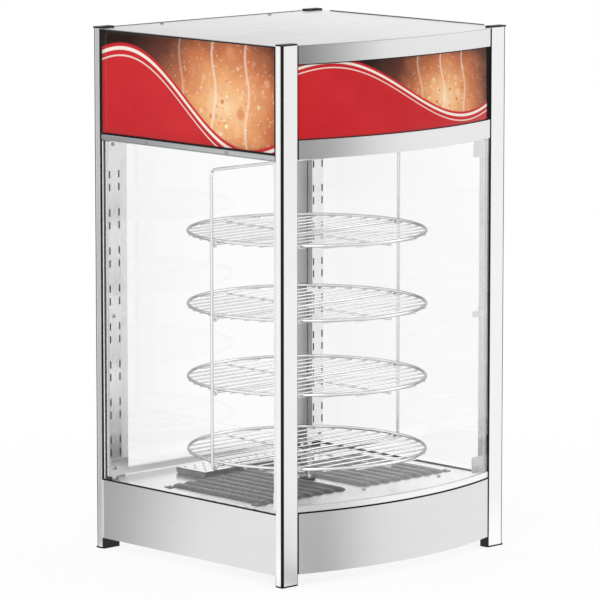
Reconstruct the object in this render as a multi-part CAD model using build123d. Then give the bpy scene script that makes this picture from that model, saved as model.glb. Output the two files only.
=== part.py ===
from build123d import *
import math
import os

# Rotating display case for warm food: four wire racks on a turning carrier, in a glass cabinet.
# Millimetres. X runs left to right, Y from the front to the back, Z up from the floor.

# Driving sizes of the cabinet
width = 583.0             # over the corner posts
depth = 519.0             # over the corner posts
height = 1003.0           # floor to the top of the post caps
cap_thick = 3.0
foot_thick = 3.0
foot_wall = 3.0           # upright walls of the feet, on the inner faces of the posts
cap_lip = 0.3             # caps and feet stand this much proud of the posts
fit_gap = 0.2             # clearance between pieces that butt together
sheet = 1.2               # folded sheet metal
flange = 12.0             # folded edge of a sheet metal panel
setback = 2.0             # panels lie this far behind the outer faces of the posts
base_bottom = 21.0
base_top = 134.0
deck_sheet = 1.0
deck_top = base_top + deck_sheet      # the deck lies on the folded edges of the panels
front_bulge = 44.0        # how far the base, glass and lower band bow forward
header_bulge = 28.0       # the same for the upper band and the top cover
header_bottom = 791.0
sign_bottom = 826.0
sign_top = height - 38.0
band_thick = 2.0
vent_pitch = 8.0
vent_w = 4.0
header_vent_z = 890.0
header_flange = 31.0      # folded top edge of the rear panel, under the top cover

# Corner posts, an extruded section
post_w = 38.0
post_d = 17.0
post_wall = 1.8
post_web_at = 30.0        # from the outer side face
side_slot = (10.0, 28.0)  # opening of the section towards the side panel
front_slot = (5.0, 12.0)  # opening of the section towards the front or rear panel
strip_leg = 2.6           # bevel of the post's outer corner, over the strip
strip_t = 1.2

# Glass, seals and rails
glass_t = 4.0
seal_t = 3.0              # width of the black strip between a post and a side panel
front_seal_t = 2.2        # the same beside the bowed front
seal_depth = 2.6
bottom_seal_h = 3.2
rail_h = 11.0             # front glass rail
rail_w = 8.0
groove_depth = 8.0        # glass in the front rail
side_groove = 4.4         # glass in the side rails
side_rail_h = 13.0
side_rail_w = 12.5

# Pilasters
pilaster_w = 30.0
pilaster_d = 14.0
pilaster_t = 1.5
pilaster_inset = 2.0      # the channel reaches this far past the inner face of its post
pilaster_low = 141.0
pilaster_high = 786.0
slot_w = 3.5
slot_h = 14.0
slot_inset = 3.3          # slot centre from the pilaster's edge
slot_pair = 24.5
slot_pitch = 73.0
slot_first = 187.0
bracket_w = 45.5
brackets = (              # height of the screw, of the plate and of its tongue
    (157.0, (141.5, 174.0), (141.5, 174.0)),
    (451.0, (438.0, 465.0), (445.0, 457.0)),
    (780.0, (752.0, 786.0), (752.0, 786.0)),
)
screw_r = 1.5
head_r = 3.6
head_h = 2.0
rail_screw_y = (-110.0, 110.0)
top_screw_x = (-141.0, 141.0)
top_screw_in = 24.0       # screws of the top cover, from the rear panel's face
deck_screws = ((-197.0, -178.0), (0.0, -175.0), (197.0, -178.0))

# Turning rack carrier
axis_y = -20.0
rack_low = 196.0          # height of the lowest rack's rim
rack_pitch = 140.0
rack_count = 4
rim_r = 225.6
rim_wire = 3.0
thin_wire = 1.5
wire_pitch = 30.5
wire_rows = 7             # on each side of the middle bar
bar_wire = 2.5
cross_wire = 1.75
weld = 0.3                # depth to which welded wires sink into each other
rod_r = 3.0
rod_x = 244.0
carrier_low = 183.0       # middle of the lower rod, which lies in the hub
carrier_high = 751.0
bend_r = 12.0
peg_r = 1.8
cradle_gap = 0.2
cradle_x = 236.0          # the cradles lie this far from the axis

# Spindle and drive
spindle_r = 7.0
run_gap = 0.05            # radial running clearance
bush_r = 11.0
bush_flange_r = 16.0
bush_flange_h = 3.0
collar_r = 10.0
collar_h = 4.0
spindle_low = 100.0
spindle_high = 176.0
hub_r = 13.0
hub_low = 158.4
hub_high = 186.4
motor_plate = (100.0, 80.0, 3.0)
gearbox = (70.0, 70.0, 40.0)
motor_r = 30.0
motor_h = 42.0

# Heaters, their covers and the water tray
rib_pitch = 27.6          # ribs of the covers, with rounded ends
rib_w = 28.6              # a little over the pitch, so that the ribs join
rib_h = 6.0
rib_count = 8
cover_w = (rib_count - 1) * rib_pitch + rib_w
cover_gap_x = 40.0        # between the two covers
cover_y = (-155.0, 104.0)
ear_w = 12.0              # ears at the outer corners of the covers, for their screws
ear_len = 18.0
ear_screw = 6.0           # screw from the cover's outer edge
cover_sheet = 1.2
heater_r = 3.5
heater_span = 80.0
heater_len = 190.0
heater_drop = 11.0
tray_w = 280.0
tray_d = 82.0
tray_front = depth / 2 - 145.5
tray_h = 11.0
tray_wall = 1.0
lid_over = 2.0            # the lid stands this far over the sides of the pan
pan_step = 0.2            # each wall of the pan stands this far inside the edge that carries it
lid_skirt = 2.0           # and its folded skirt ends this far over the deck
lid_hole_r = 3.0
lid_hole_pitch = (23.2, 29.0)      # a second grid lies between these holes
lid_holes = (12, 3)

# Rear door
door_clear = 3.5
door_thick = 14.0
door_low = 138.0
door_high = 787.5
stile_w = 28.0
door_rail_w = 12.0
door_groove = 8.0         # glass in the door frame
pivot_in = 6.0            # pivot axis from the door's hinged edge
pivot_back = 9.0          # pivot axis from the door's inner face
pivot_r = 3.0
pivot_plate = 2.5
handle_len = 110.0
handle_r = 5.0
handle_out = 25.0
handle_z = 470.0
catch_len = 40.0
catch_deep = 14.0
catch_high = 10.0

# Controls on the rear of the base
control_z = 78.0
switch_from_side = (186.5, 141.5)  # from the right side of the case
bezel = (30.0, 24.0, 2.0)
rocker_len = 21.0
rocker_r = 8.0
rocker_tilt = 10.0
rocker_gap = 0.3
bezel_lip = 4.4           # the bezel is this much wider than the housing behind it
housing_depth = 16.0
dial_from_side = 251.5
knob_r = 19.0
knob_h = 16.0
shaft_r = 3.0
inlet_from_side = 121.5    # from the left side of the case

# Lamp
lamp_len = 330.0
lamp_r = 8.0
window = (372.0, 50.0)
holder_h = 34.0

# Places worked out from the sizes above
half_w = width / 2
half_d = depth / 2
in_x = half_w - post_w
in_y = half_d - post_d
post_top = height - cap_thick
case_top = post_top - sheet - 0.1     # underside of the top cover
panel_x = half_w - setback
panel_y = half_d - setback
glass_x = panel_x - 1.0
top_screw_y = panel_y - top_screw_in
rack_heights = [rack_low + i * rack_pitch for i in range(rack_count)]
front_reach = panel_y + front_bulge
rear_reach = panel_y + handle_out
middle_shift = (front_reach - rear_reach) / 2
switch_x = [half_w - side for side in switch_from_side]
dial_x = half_w - dial_from_side
inlet_x = inlet_from_side - half_w
corners = {
    "front_left": (-1, -1),
    "front_right": (1, -1),
    "rear_left": (-1, 1),
    "rear_right": (1, 1),
}


def box(x0, x1, y0, y1, z0, z1):
    low = (min(x0, x1), min(y0, y1), min(z0, z1))
    size = (abs(x1 - x0), abs(y1 - y0), abs(z1 - z0))
    return Pos(*low) * Box(*size, align=(Align.MIN, Align.MIN, Align.MIN))


def rod(p, q, r):
    """A round rod between two points, with the seam of its face on its side."""
    start = Vector(*p)
    along = Vector(*q) - start
    side = Vector(0, 0, 1).cross(along)
    if side.length < 1e-6:
        side = Vector(1, 0, 0)
    return Solid.make_cylinder(r, along.length, Plane(origin=start, x_dir=side, z_dir=along))


def bent_rod(path, r):
    """A round rod along a wire."""
    start = Plane(origin=path @ 0, z_dir=path % 0)
    return sweep(start * Circle(r), path=path).solid()


def save(name, *pieces):
    """Write a node, moved so that the origin is under the middle of the whole object."""
    moved = [Pos(0, middle_shift, 0) * piece for piece in pieces]
    export_step(moved[0] if len(moved) == 1 else Compound(moved), f"parts/{name}.step")


def arc_radius(bulge):
    return (in_x ** 2 + bulge ** 2) / (2 * bulge)


def arc_centre(bulge):
    return -panel_y - bulge + arc_radius(bulge)


def arc_face_y(bulge, x):
    """Y of the bowed front line at a distance x from the middle."""
    return arc_centre(bulge) - math.sqrt(arc_radius(bulge) ** 2 - x ** 2)


def front_wall(bulge, inset, thick, x0, x1, z0, z1):
    """A bowed wall: its outer face lies inset behind the front line."""
    r = arc_radius(bulge) - inset
    ring = Pos(0, arc_centre(bulge), z0) * extrude(Circle(r) - Circle(r - thick), z1 - z0)
    return ring & box(x0, x1, arc_centre(bulge) - r - 1, -in_y, z0, z1)


def plan_plate(bulge, side_in, front_in, rear_in, z0, z1):
    """A level plate that fills the cabinet's plan and is notched round the posts."""
    r = arc_radius(bulge) - front_in
    disc = Pos(0, arc_centre(bulge), z0) * extrude(Circle(r), z1 - z0)
    far = half_w - side_in
    plate = disc & box(-far, far, arc_centre(bulge) - r - 1, half_d - rear_in, z0, z1)
    for sx, sy in corners.values():
        plate -= box(
            sx * (in_x - fit_gap), sx * width, sy * (in_y - fit_gap), sy * depth, z0, z1
        )
    return plate


def screw_hole(x, y, z, direction, length):
    """The hole of a screw whose head bears at the given point; direction points into the work."""
    d = Vector(*direction)
    start = Vector(x, y, z) - d * 0.5
    return Solid.make_cylinder(screw_r + 0.1, length + 1.0, Plane(origin=start, z_dir=d))


def screw(x, y, z, direction, length):
    """A cross-headed screw whose head bears at the given point."""
    d = Vector(*direction)
    seat = Vector(x, y, z)
    shank = Solid.make_cylinder(screw_r, length, Plane(origin=seat, z_dir=d))
    bevel = Solid.make_cone(head_r - 0.8, head_r, 0.8, Plane(origin=seat - d * head_h, z_dir=d))
    rim = Solid.make_cylinder(head_r, head_h - 0.8, Plane(origin=seat - d * (head_h - 0.8), z_dir=d))
    cross = Box(4.4, 0.9, 1.2) + Box(0.9, 4.4, 1.2)
    return bevel + rim + shank - Plane(origin=seat - d * (head_h - 0.45), z_dir=d).location * cross


# Corner posts with their caps, feet and black corner strips

def corner_triangle(leg):
    return make_face(Polyline((0, 0), (leg, 0), (0, leg), close=True))


def post_section():
    """The extruded section of the front left post, from its outer corner at 0, 0."""
    def area(u0, u1, v0, v1):
        return Pos((u0 + u1) / 2, (v0 + v1) / 2) * Rectangle(u1 - u0, v1 - v0)

    wall = post_wall
    recess = strip_leg + (strip_t + 0.05) * math.sqrt(2)
    section = area(0, post_w, 0, post_d)
    section -= area(wall, post_web_at - wall, wall, post_d - wall)
    section -= area(post_web_at, post_w - wall, wall, post_d - wall)
    section += corner_triangle(recess + wall * math.sqrt(2))
    section -= corner_triangle(recess)
    section -= area(side_slot[0], side_slot[1], post_d - wall, post_d)
    section -= area(post_w - wall, post_w, front_slot[0], front_slot[1])
    for groove in (6.4, post_d - 2.4):
        section -= area(0, 0.5, groove, groove + 0.9)
    return section


def at_corner(shape, sx, sy):
    """Carry a piece that is drawn for the front left corner to another corner."""
    if sx > 0:
        shape = mirror(shape, about=Plane.YZ)
    if sy > 0:
        shape = mirror(shape, about=Plane.XZ)
    return shape


def make_posts():
    length = post_top - foot_thick
    post = Pos(-half_w, -half_d, foot_thick) * extrude(post_section(), length)
    band = corner_triangle(strip_leg + strip_t * math.sqrt(2)) - corner_triangle(strip_leg)
    strip = Pos(-half_w, -half_d, foot_thick) * extrude(band, length)
    lip = cap_lip
    plate = box(-half_w - lip, -in_x + lip, -half_d - lip, -in_y + lip, 0, cap_thick)
    cap = Pos(0, 0, post_top) * chamfer(plate.faces().sort_by(Axis.Z)[-1].edges(), 0.6)
    foot = chamfer(plate.faces().sort_by(Axis.Z)[0].edges(), 0.5)
    wall, top = foot_wall, base_bottom - 0.5
    foot += box(-half_w + setback, -in_x + wall, -in_y + 0.05, -in_y + wall, 0, top)
    foot += box(-in_x + 0.05, -in_x + wall, -half_d + setback, -in_y + wall, 0, top)
    strips, caps, feet = [], [], []
    for name, (sx, sy) in corners.items():
        save("post_" + name, at_corner(post, sx, sy))
        strips.append(at_corner(strip, sx, sy))
        caps.append(at_corner(cap, sx, sy))
        feet.append(at_corner(foot, sx, sy))
    save("corner_strips", *strips)
    save("post_caps", *caps)
    save("post_feet", *feet)


# Base

def folded_side(sx):
    """A flat side panel with its top and bottom edges folded inwards."""
    y = in_y - fit_gap / 2
    outer = sx * panel_x
    panel = box(outer, outer - sx * sheet, -y, y, base_bottom, base_top)
    for z in (base_bottom, base_top - sheet):
        panel += box(outer, outer - sx * flange, -y, y, z, z + sheet)
    return panel


def vent_slots(middle, count, slot_len, z_low):
    """Upright slots through a rear panel, side by side about a middle."""
    first = middle - (count - 1) * vent_pitch / 2
    return [
        box(x - vent_w / 2, x + vent_w / 2, panel_y - 20, panel_y + 20, z_low, z_low + slot_len)
        for x in (first + i * vent_pitch for i in range(count))
    ]


def make_base():
    for name, sx in (("base_left", -1), ("base_right", 1)):
        save(name, folded_side(sx))
    end = in_x - fit_gap - front_seal_t
    front = front_wall(front_bulge, 0, sheet, -end, end, base_bottom, base_top)
    for z in (base_bottom, base_top - sheet):
        front += front_wall(front_bulge, 0, flange, -end, end, z, z + sheet)
    save("base_front", front)
    x = in_x - fit_gap
    rear = box(-x, x, panel_y - sheet, panel_y, base_bottom, base_top)
    for z in (base_bottom, base_top - sheet):
        rear += box(-x, x, panel_y - flange, panel_y, z, z + sheet)
    for sx in switch_x:
        w = bezel[0] / 2 - 2.0
        h = bezel[1] / 2 - 2.0
        rear -= box(sx - w, sx + w, panel_y - 4, panel_y + 1, control_z - h, control_z + h)
    rear -= rod((dial_x, panel_y - 4, control_z), (dial_x, panel_y + 1, control_z), shaft_r + 1)
    rear -= box(inlet_x - 14, inlet_x + 14, panel_y - 4, panel_y + 1, control_z - 10, control_z + 10)
    for slot in vent_slots(-54.0, 12, 46.0, control_z - 23.0):
        rear -= slot
    save("base_rear", rear)
    low = base_bottom + sheet
    edge_in = setback + sheet + 1
    floor = plan_plate(front_bulge, edge_in, flange / 2, edge_in, low, low + sheet)
    for i in range(9):
        x = -160 + i * 40
        floor -= box(x - 2, x + 2, -120, -40, low, low + sheet)
    save("bottom_plate", floor)


def cover_centres():
    """X of the middle of the two heater covers."""
    out = (cover_w + cover_gap_x) / 2
    return (-out, out)


def cover_screw_points(centre):
    """The cover's screws, in ears at its outer corners."""
    side = 1 if centre > 0 else -1
    x = centre + side * (cover_w / 2 + ear_screw)
    return [(x, cover_y[0] + ear_len / 2), (x, cover_y[1] - ear_len / 2)]


def deck_hole_at(centre):
    """The opening in the deck over which a cover lies."""
    return box(centre - 62, centre + 62, cover_y[0] + 22, cover_y[1] - 22, base_top, deck_top)


def make_deck():
    side_in = half_w - glass_x + glass_t + 0.3
    front_in = 0.5 + rail_w + 0.3
    deck = plan_plate(front_bulge, side_in, front_in, setback + 1.5, base_top, deck_top)
    deck -= rod((0, axis_y, base_top), (0, axis_y, deck_top), bush_r)
    for centre in cover_centres():
        deck -= deck_hole_at(centre)
        for x, y in cover_screw_points(centre):
            deck -= screw_hole(x, y, deck_top + cover_sheet, (0, 0, -1), 8)
    for x, y in deck_screws:
        deck -= screw_hole(x, y, deck_top, (0, 0, -1), 8)
    save("deck", deck)


# Rails, seals and glass

def make_front_glass():
    end = in_x - fit_gap - front_seal_t
    rail_low = base_top + bottom_seal_h + 0.1
    rail = front_wall(front_bulge, 0.5, rail_w, -end, end, rail_low, rail_low + rail_h)
    groove = front_wall(
        front_bulge, 2.4, glass_t + 0.2, -width, width, rail_low + rail_h - groove_depth, rail_low + rail_h
    )
    save("front_glass_rail", rail - groove)
    glass = front_wall(
        front_bulge, 2.5, glass_t, -end + 0.2, end - 0.2, rail_low + rail_h - groove_depth + 0.1,
        header_bottom + 7.0,
    )
    save("glass_front", glass)


def make_seals():
    """Black strips: under the glass, and upright between the posts and the panels."""
    end_y = in_y - fit_gap / 2
    end_x = in_x - 0.1
    z0, z1 = base_top, base_top + bottom_seal_h
    near_x = end_x - front_seal_t
    seals = [front_wall(front_bulge, 0.5, rail_w, -near_x, near_x, z0, z1)]
    for sx in (-1, 1):
        outer = sx * glass_x
        seals.append(box(outer, outer - sx * glass_t, -end_y, end_y, z0, z1))
        for sy in (-1, 1):
            seals.append(
                box(outer, outer - sx * glass_t, sy * end_y, sy * (end_y - seal_t), z1 + 0.1, case_top - 0.5)
            )
        y = -panel_y
        seals.append(
            box(sx * end_x, sx * near_x, y - 0.2, y + seal_depth, base_bottom, case_top - 0.5)
        )
    save("glass_seals", *seals)


def make_side_glass():
    """Side panes, with the rail and the sign above each."""
    end = in_y - fit_gap / 2 - seal_t - 0.2
    for name, sx in (("left", -1), ("right", 1)):
        outer = sx * glass_x
        low = base_top + bottom_seal_h + 0.1
        rail_low = header_bottom - 3.0
        rail_high = rail_low + side_rail_h
        pane = box(outer, outer - sx * glass_t, -end, end, low, rail_low + side_groove - fit_gap)
        save("glass_" + name, pane)
        face = sx * (panel_x + 1.0)
        rail = box(face, face - sx * side_rail_w, -end, end, rail_low, rail_high)
        edges = rail.edges().filter_by(Axis.Y).sort_by(Axis.X)
        outer_edges = edges[0:2] if sx < 0 else edges[-2:]
        rail = chamfer(outer_edges, 3.0)
        rail -= box(
            outer + sx * 0.1, outer - sx * (glass_t + 0.1), -end - 1, end + 1,
            rail_low - 1, rail_low + side_groove,
        )
        for y in rail_screw_y:
            rail -= screw_hole(face, y, rail_low + side_rail_h / 2, (-sx, 0, 0), 5)
        save("header_rail_" + name, rail)
        sign = box(
            sx * panel_x, sx * (panel_x - band_thick), -end, end, rail_high + fit_gap, case_top - 0.3
        )
        save("sign_" + name, sign)


# Header

def leaning_wall(inset, thick, x0, x1, z0, z1):
    """A wall that follows the lower front line at z0 and the flatter upper one at z1."""
    faces = []
    for bulge, z in ((front_bulge, z0), (header_bulge, z1)):
        r = arc_radius(bulge) - inset
        centre = arc_centre(bulge)
        ring = Pos(0, centre) * (Circle(r) - Circle(r - thick))
        clip = Pos((x0 + x1) / 2, centre - r) * Rectangle(x1 - x0, 2 * (front_bulge + thick))
        faces.append(Pos(0, 0, z) * (ring & clip).face())
    return loft(faces, ruled=True)


def make_header():
    end = in_x - fit_gap - front_seal_t
    lower = front_wall(front_bulge, 0, band_thick, -end, end, header_bottom, sign_bottom)
    lower += front_wall(front_bulge, 0, 9.0, -end, end, sign_bottom - sheet, sign_bottom)
    save("header_band_lower", lower)
    upper = front_wall(header_bulge, 0, band_thick, -end, end, sign_top, case_top - 0.3)
    upper += front_wall(header_bulge, 0, 9.0, -end, end, sign_top, sign_top + sheet)
    save("header_band_upper", upper)
    sign = leaning_wall(1.6, 2.0, -end + 0.2, end - 9.5, sign_bottom + 0.1, sign_top - 0.1)
    save("sign_front", sign)
    stop_y = arc_face_y(header_bulge, end) + 1.4
    stop = box(end - 9.2, end, stop_y, stop_y + 5, sign_bottom + 0.1, sign_top - 0.1)
    save("sign_stop", stop)
    x = in_x - fit_gap
    rear = box(-x, x, panel_y - sheet, panel_y, header_bottom, case_top - 0.3)
    rear += box(-x, x, panel_y - 14, panel_y, header_bottom, header_bottom + sheet)
    far = panel_y - header_flange
    rear += box(-x, x, far, panel_y, case_top - 0.3 - sheet, case_top - 0.3)
    for slot in vent_slots(0.0, 36, 60.0, header_vent_z):
        rear -= slot
    for x in top_screw_x:
        rear -= screw_hole(x, top_screw_y, case_top + sheet, (0, 0, -1), 6)
    save("header_rear", rear)
    cover = plan_plate(header_bulge, setback, 0, setback, case_top, case_top + sheet)
    rim_in = half_w - glass_x + glass_t + fit_gap
    rim_front = 5.0
    rim_rear = setback + header_flange + 1.0
    rim = plan_plate(header_bulge, rim_in, rim_front, rim_rear, case_top - 8, case_top)
    rim -= plan_plate(
        header_bulge, rim_in + sheet, rim_front + sheet, rim_rear + sheet, case_top - 8, case_top
    )
    cover += rim
    for x in top_screw_x:
        cover -= screw_hole(x, top_screw_y, case_top + sheet, (0, 0, -1), 6)
    save("top_cover", cover)


def make_ceiling_and_lamp():
    """The light panel over the racks, with a tube in its window."""
    low = header_bottom - 3.0 + side_rail_h
    side_in = half_w - glass_x + glass_t + fit_gap
    ceiling = plan_plate(front_bulge, side_in, 7.0, setback + 15, low, low + sheet)
    w, d = window[0] / 2, window[1] / 2
    ceiling -= box(-w, w, axis_y - d, axis_y + d, low, low + sheet)
    save("ceiling_panel", ceiling)
    base = low + sheet
    holder = box(-w - 10, w + 10, axis_y - d - 10, axis_y + d + 10, base, base + sheet)
    holder += box(-w - 2, w + 2, axis_y - d - 2, axis_y + d + 2, base, base + holder_h)
    holder -= box(-w, w, axis_y - d, axis_y + d, base, base + holder_h - sheet)
    z = base + 16.0
    for sx in (-1, 1):
        holder += box(sx * w, sx * (lamp_len / 2 + 0.3), axis_y - 10, axis_y + 10, z - 10, base + holder_h)
    save("lamp_holder", holder)
    tube = rod((-lamp_len / 2, axis_y, z), (lamp_len / 2, axis_y, z), lamp_r)
    save("lamp_tube", tube)


# Pilasters with their brackets

def bracket_screw_x():
    return in_x - pilaster_inset + pilaster_w - 11.0


def pilaster():
    """The slotted channel of the front left corner."""
    x0 = -(in_x - pilaster_inset + pilaster_w)
    x1 = -(in_x - pilaster_inset)
    y0 = -in_y + fit_gap / 2
    y1 = -in_y + pilaster_d
    channel = box(x0, x1, y0, y1, pilaster_low, pilaster_high)
    channel -= box(
        x0 + pilaster_t, x1 - pilaster_t, y0, y1 - pilaster_t, pilaster_low, pilaster_high
    )
    top_bracket = brackets[-1][1][0]
    pairs = int((top_bracket - slot_first - slot_pair) / slot_pitch) + 1
    for i in range(pairs):
        for z in (slot_first + i * slot_pitch, slot_first + i * slot_pitch + slot_pair):
            for x in (x0 + slot_inset, x1 - slot_inset):
                slot = Box(slot_w, 3 * pilaster_t, slot_h)
                channel -= Pos(x, y1 - pilaster_t / 2, z) * slot
    for z, *_ in brackets:
        channel -= screw_hole(-bracket_screw_x(), y1 + sheet, z, (0, -1, 0), 6)
    return channel


def make_pilasters():
    channel = pilaster()
    y = -in_y + pilaster_d
    outer = -(in_x - pilaster_inset + pilaster_w)
    plates = []
    for z, plate_z, tongue_z in brackets:
        tongue = box(outer, outer + bracket_w, y, y + sheet, *tongue_z)
        tongue = fillet(tongue.edges().filter_by(Axis.Y).group_by(Axis.X)[-1], 3.0)
        plate = tongue + box(outer, outer + pilaster_w, y, y + sheet, *plate_z)
        plates.append(plate - screw_hole(-bracket_screw_x(), y + sheet, z, (0, -1, 0), 6))
    for side, sy in (("front", -1), ("rear", 1)):
        pair = [at_corner(channel, sx, sy) for sx in (-1, 1)]
        save("pilasters_" + side, *pair)
    all_plates = [at_corner(plate, sx, sy) for plate in plates for sx, sy in corners.values()]
    save("pilaster_brackets", *all_plates)


# Heater covers, heaters and water tray

def cover_ribs(radius, axis_z):
    """Round-ended bars along Y, as many as a cover has ribs, around X = 0."""
    y0, y1 = cover_y[0] + rib_w / 2, cover_y[1] - rib_w / 2
    outline = Curve() + [
        Line((0, y1 + radius), (0, y0 - radius)),
        CenterArc((0, y0), radius, -90, 90),
        Line((radius, y0), (radius, y1)),
        CenterArc((0, y1), radius, 0, 90),
    ]
    bar = revolve(make_face(outline), Axis.Y)
    middle = (rib_count - 1) / 2
    return [Pos((i - middle) * rib_pitch, 0, axis_z) * bar for i in range(rib_count)]


def heater_cover(centre):
    """A sheet pressed into ribs side by side, with a flat ear at each outer corner."""
    radius = (rib_w ** 2 / 4 + rib_h ** 2) / (2 * rib_h)
    axis_z = deck_top + rib_h - radius
    cover = Part() + cover_ribs(radius, axis_z)
    cover &= box(-cover_w, cover_w, 2 * cover_y[0], 2 * cover_y[1], deck_top, deck_top + 2 * rib_h)
    cover -= cover_ribs(radius - cover_sheet, axis_z)
    cover = Pos(centre, 0, 0) * cover
    side = 1 if centre > 0 else -1
    edge = centre + side * cover_w / 2
    for x, y in cover_screw_points(centre):
        y0, y1 = y - ear_len / 2, y + ear_len / 2
        inner, outer = edge - side * cover_sheet, edge + side * ear_w
        cover += box(inner, outer, y0, y1, deck_top, deck_top + cover_sheet)
        cover -= screw_hole(x, y, deck_top + cover_sheet, (0, 0, -1), 8)
    return cover


def make_heaters():
    for name, centre in zip(("left", "right"), cover_centres()):
        save("heater_cover_" + name, heater_cover(centre))
    save("heaters", *[heater_at(centre) for centre in cover_centres()])


def heater_at(centre):
    """A bent tube hung from a bar under the deck."""
    z = deck_top - deck_sheet - heater_drop
    half = heater_span / 2
    back = cover_y[1] - 10.0
    front = back - heater_len
    x0, x1 = centre - half, centre + half
    path = Line((x0, back, z), (x0, front, z))
    path += ThreePointArc((x0, front, z), (centre, front - half, z), (x1, front, z))
    path += Line((x1, front, z), (x1, back, z))
    tube = bent_rod(path.wire(), heater_r)
    bar = box(centre - half - 12, centre + half + 12, back - 8, back + 8, z - 2, deck_top - deck_sheet)
    return tube + bar


def make_tray():
    z0, z1 = deck_top, deck_top + tray_h
    x, y0, y1 = tray_w / 2, tray_front, tray_front + tray_d
    px, py0, py1 = x - lid_over, y0 + lid_over, y1 - lid_over
    z_floor = z0 + tray_wall
    floor = box(-px, px, py0, py1, z0, z_floor)
    sx, sy0, sy1 = px - pan_step, py0 + pan_step, py1 - pan_step
    sides = [box(s * (sx - tray_wall), s * sx, sy0, sy1, z_floor, z1) for s in (-1, 1)]
    ends = [
        box(-sx + tray_wall, sx - tray_wall, *sorted((y, y + inwards * tray_wall)), z_floor, z1)
        for y, inwards in ((sy0 + pan_step, 1), (sy1 - pan_step, -1))
    ]
    save("water_pan", floor, *sides, *ends)
    z_skirt = z0 + lid_skirt
    lid = box(-x, x, y0, y1, z_skirt, z1 + tray_wall)
    lid -= box(-x + tray_wall, x - tray_wall, y0 + tray_wall, y1 - tray_wall, z_skirt, z1)
    columns, rows = lid_holes
    holes = Sketch() + GridLocations(*lid_hole_pitch, columns, rows) * Circle(lid_hole_r)
    holes += GridLocations(*lid_hole_pitch, columns - 1, rows - 1) * Circle(lid_hole_r)
    lid -= Pos(0, (y0 + y1) / 2, z1 - 1) * extrude(holes, tray_wall + 2)
    save("water_pan_lid", lid)


# Turning carrier

def rack():
    """A wire rack: a round rim over straight wires, a stouter bar across and a cross wire."""
    shape = Rot(0, 0, 4) * Torus(rim_r, rim_wire)
    wire_z = -rim_wire - thin_wire + weld
    reach = rim_r + rim_wire - 0.8
    for i in range(1, wire_rows + 1):
        half = math.sqrt(reach ** 2 - (i * wire_pitch) ** 2)
        for y in (-i * wire_pitch, i * wire_pitch):
            shape += rod((-half, y, wire_z), (half, y, wire_z), thin_wire)
    half = cradle_x + peg_r - 0.1
    bar_z = rack_bar_z(0)
    shape += rod((-half, 0, bar_z), (half, 0, bar_z), bar_wire)
    cross_z = wire_z - thin_wire - cross_wire + weld
    shape += rod((0, -rim_r - 1, cross_z), (0, rim_r + 1, cross_z), cross_wire)
    for y in (-rim_r, rim_r):
        shape += rod((0, y, cross_z), (0, y, -weld), thin_wire)
    return shape


def rack_bar_z(z):
    """Height of the stout bar of a rack whose rim is at z."""
    return z - rim_wire - bar_wire + weld


def cradle(z):
    """A half ring on a peg, welded to the carrier's left rod, that holds a rack's bar."""
    mid = rack_bar_z(z)
    r = bar_wire + cradle_gap + peg_r
    x = -cradle_x
    path = Line((x, -r, mid + 3.5), (x, -r, mid))
    path += ThreePointArc((x, -r, mid), (x, 0, mid - r), (x, r, mid))
    path += Line((x, r, mid), (x, r, mid + 3.5))
    return bent_rod(path.wire(), peg_r) + rod((x, 0, mid - r), (-rod_x, 0, mid - r), peg_r)


def make_carrier():
    one_rack = rack()
    for i, z in enumerate(rack_heights):
        save(f"rack_{i + 1}", Pos(0, axis_y, z) * one_rack)
    x, low, high = rod_x, carrier_low, carrier_high
    loop = [(-x, 0, low), (x, 0, low), (x, 0, high), (-x, 0, high)]
    shape = bent_rod(FilletPolyline(*loop, radius=bend_r, close=True).wire(), rod_r)
    for z in rack_heights:
        seat = cradle(z)
        shape += seat
        shape += mirror(seat, about=Plane.YZ)
    save("carrier_frame", Pos(0, axis_y, 0) * shape)


def make_drive():
    """Gear motor under the deck, its spindle, the bush in the deck and the hub."""
    y = axis_y
    under = deck_top - deck_sheet
    bush = rod((0, y, under - 4), (0, y, deck_top), bush_r - run_gap)
    bush += rod((0, y, deck_top), (0, y, deck_top + bush_flange_h), bush_flange_r)
    bush -= rod((0, y, under - 5), (0, y, deck_top + 10), spindle_r + run_gap)
    save("spindle_bush", bush)
    collar_low = deck_top + bush_flange_h + 0.1
    spindle = rod((0, y, spindle_low), (0, y, spindle_high), spindle_r)
    spindle += rod((0, y, collar_low), (0, y, collar_low + collar_h), collar_r)
    save("drive_spindle", spindle)
    hub = rod((0, y, hub_low), (0, y, hub_high), hub_r)
    hub = chamfer(hub.edges().filter_by(GeomType.CIRCLE), 1.5)
    hub -= rod((0, y, hub_low - 1), (0, y, spindle_high + 0.1), spindle_r + run_gap)
    groove = rod_r + 0.15
    hub -= rod((-hub_r, y, carrier_low), (hub_r, y, carrier_low), groove)
    hub -= box(-hub_r, hub_r, y - groove, y + groove, carrier_low, hub_high)
    save("carrier_hub", hub)
    w, d, t = motor_plate
    top = under
    motor = box(-w / 2, w / 2, y - d / 2, y + d / 2, top - t, top)
    gw, gd, gh = gearbox
    low = top - t - gh
    motor += fillet(box(-gw / 2, gw / 2, y - gd / 2, y + gd / 2, low, top - t).edges().filter_by(Axis.Z), 6)
    motor += rod((0, y, low - motor_h), (0, y, low), motor_r)
    motor -= rod((0, y, spindle_low - 1), (0, y, top), spindle_r + run_gap)
    motor -= rod((0, y, top - 4.5), (0, y, top), bush_r + 0.2)
    save("gear_motor", motor)


# Rear door

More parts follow.
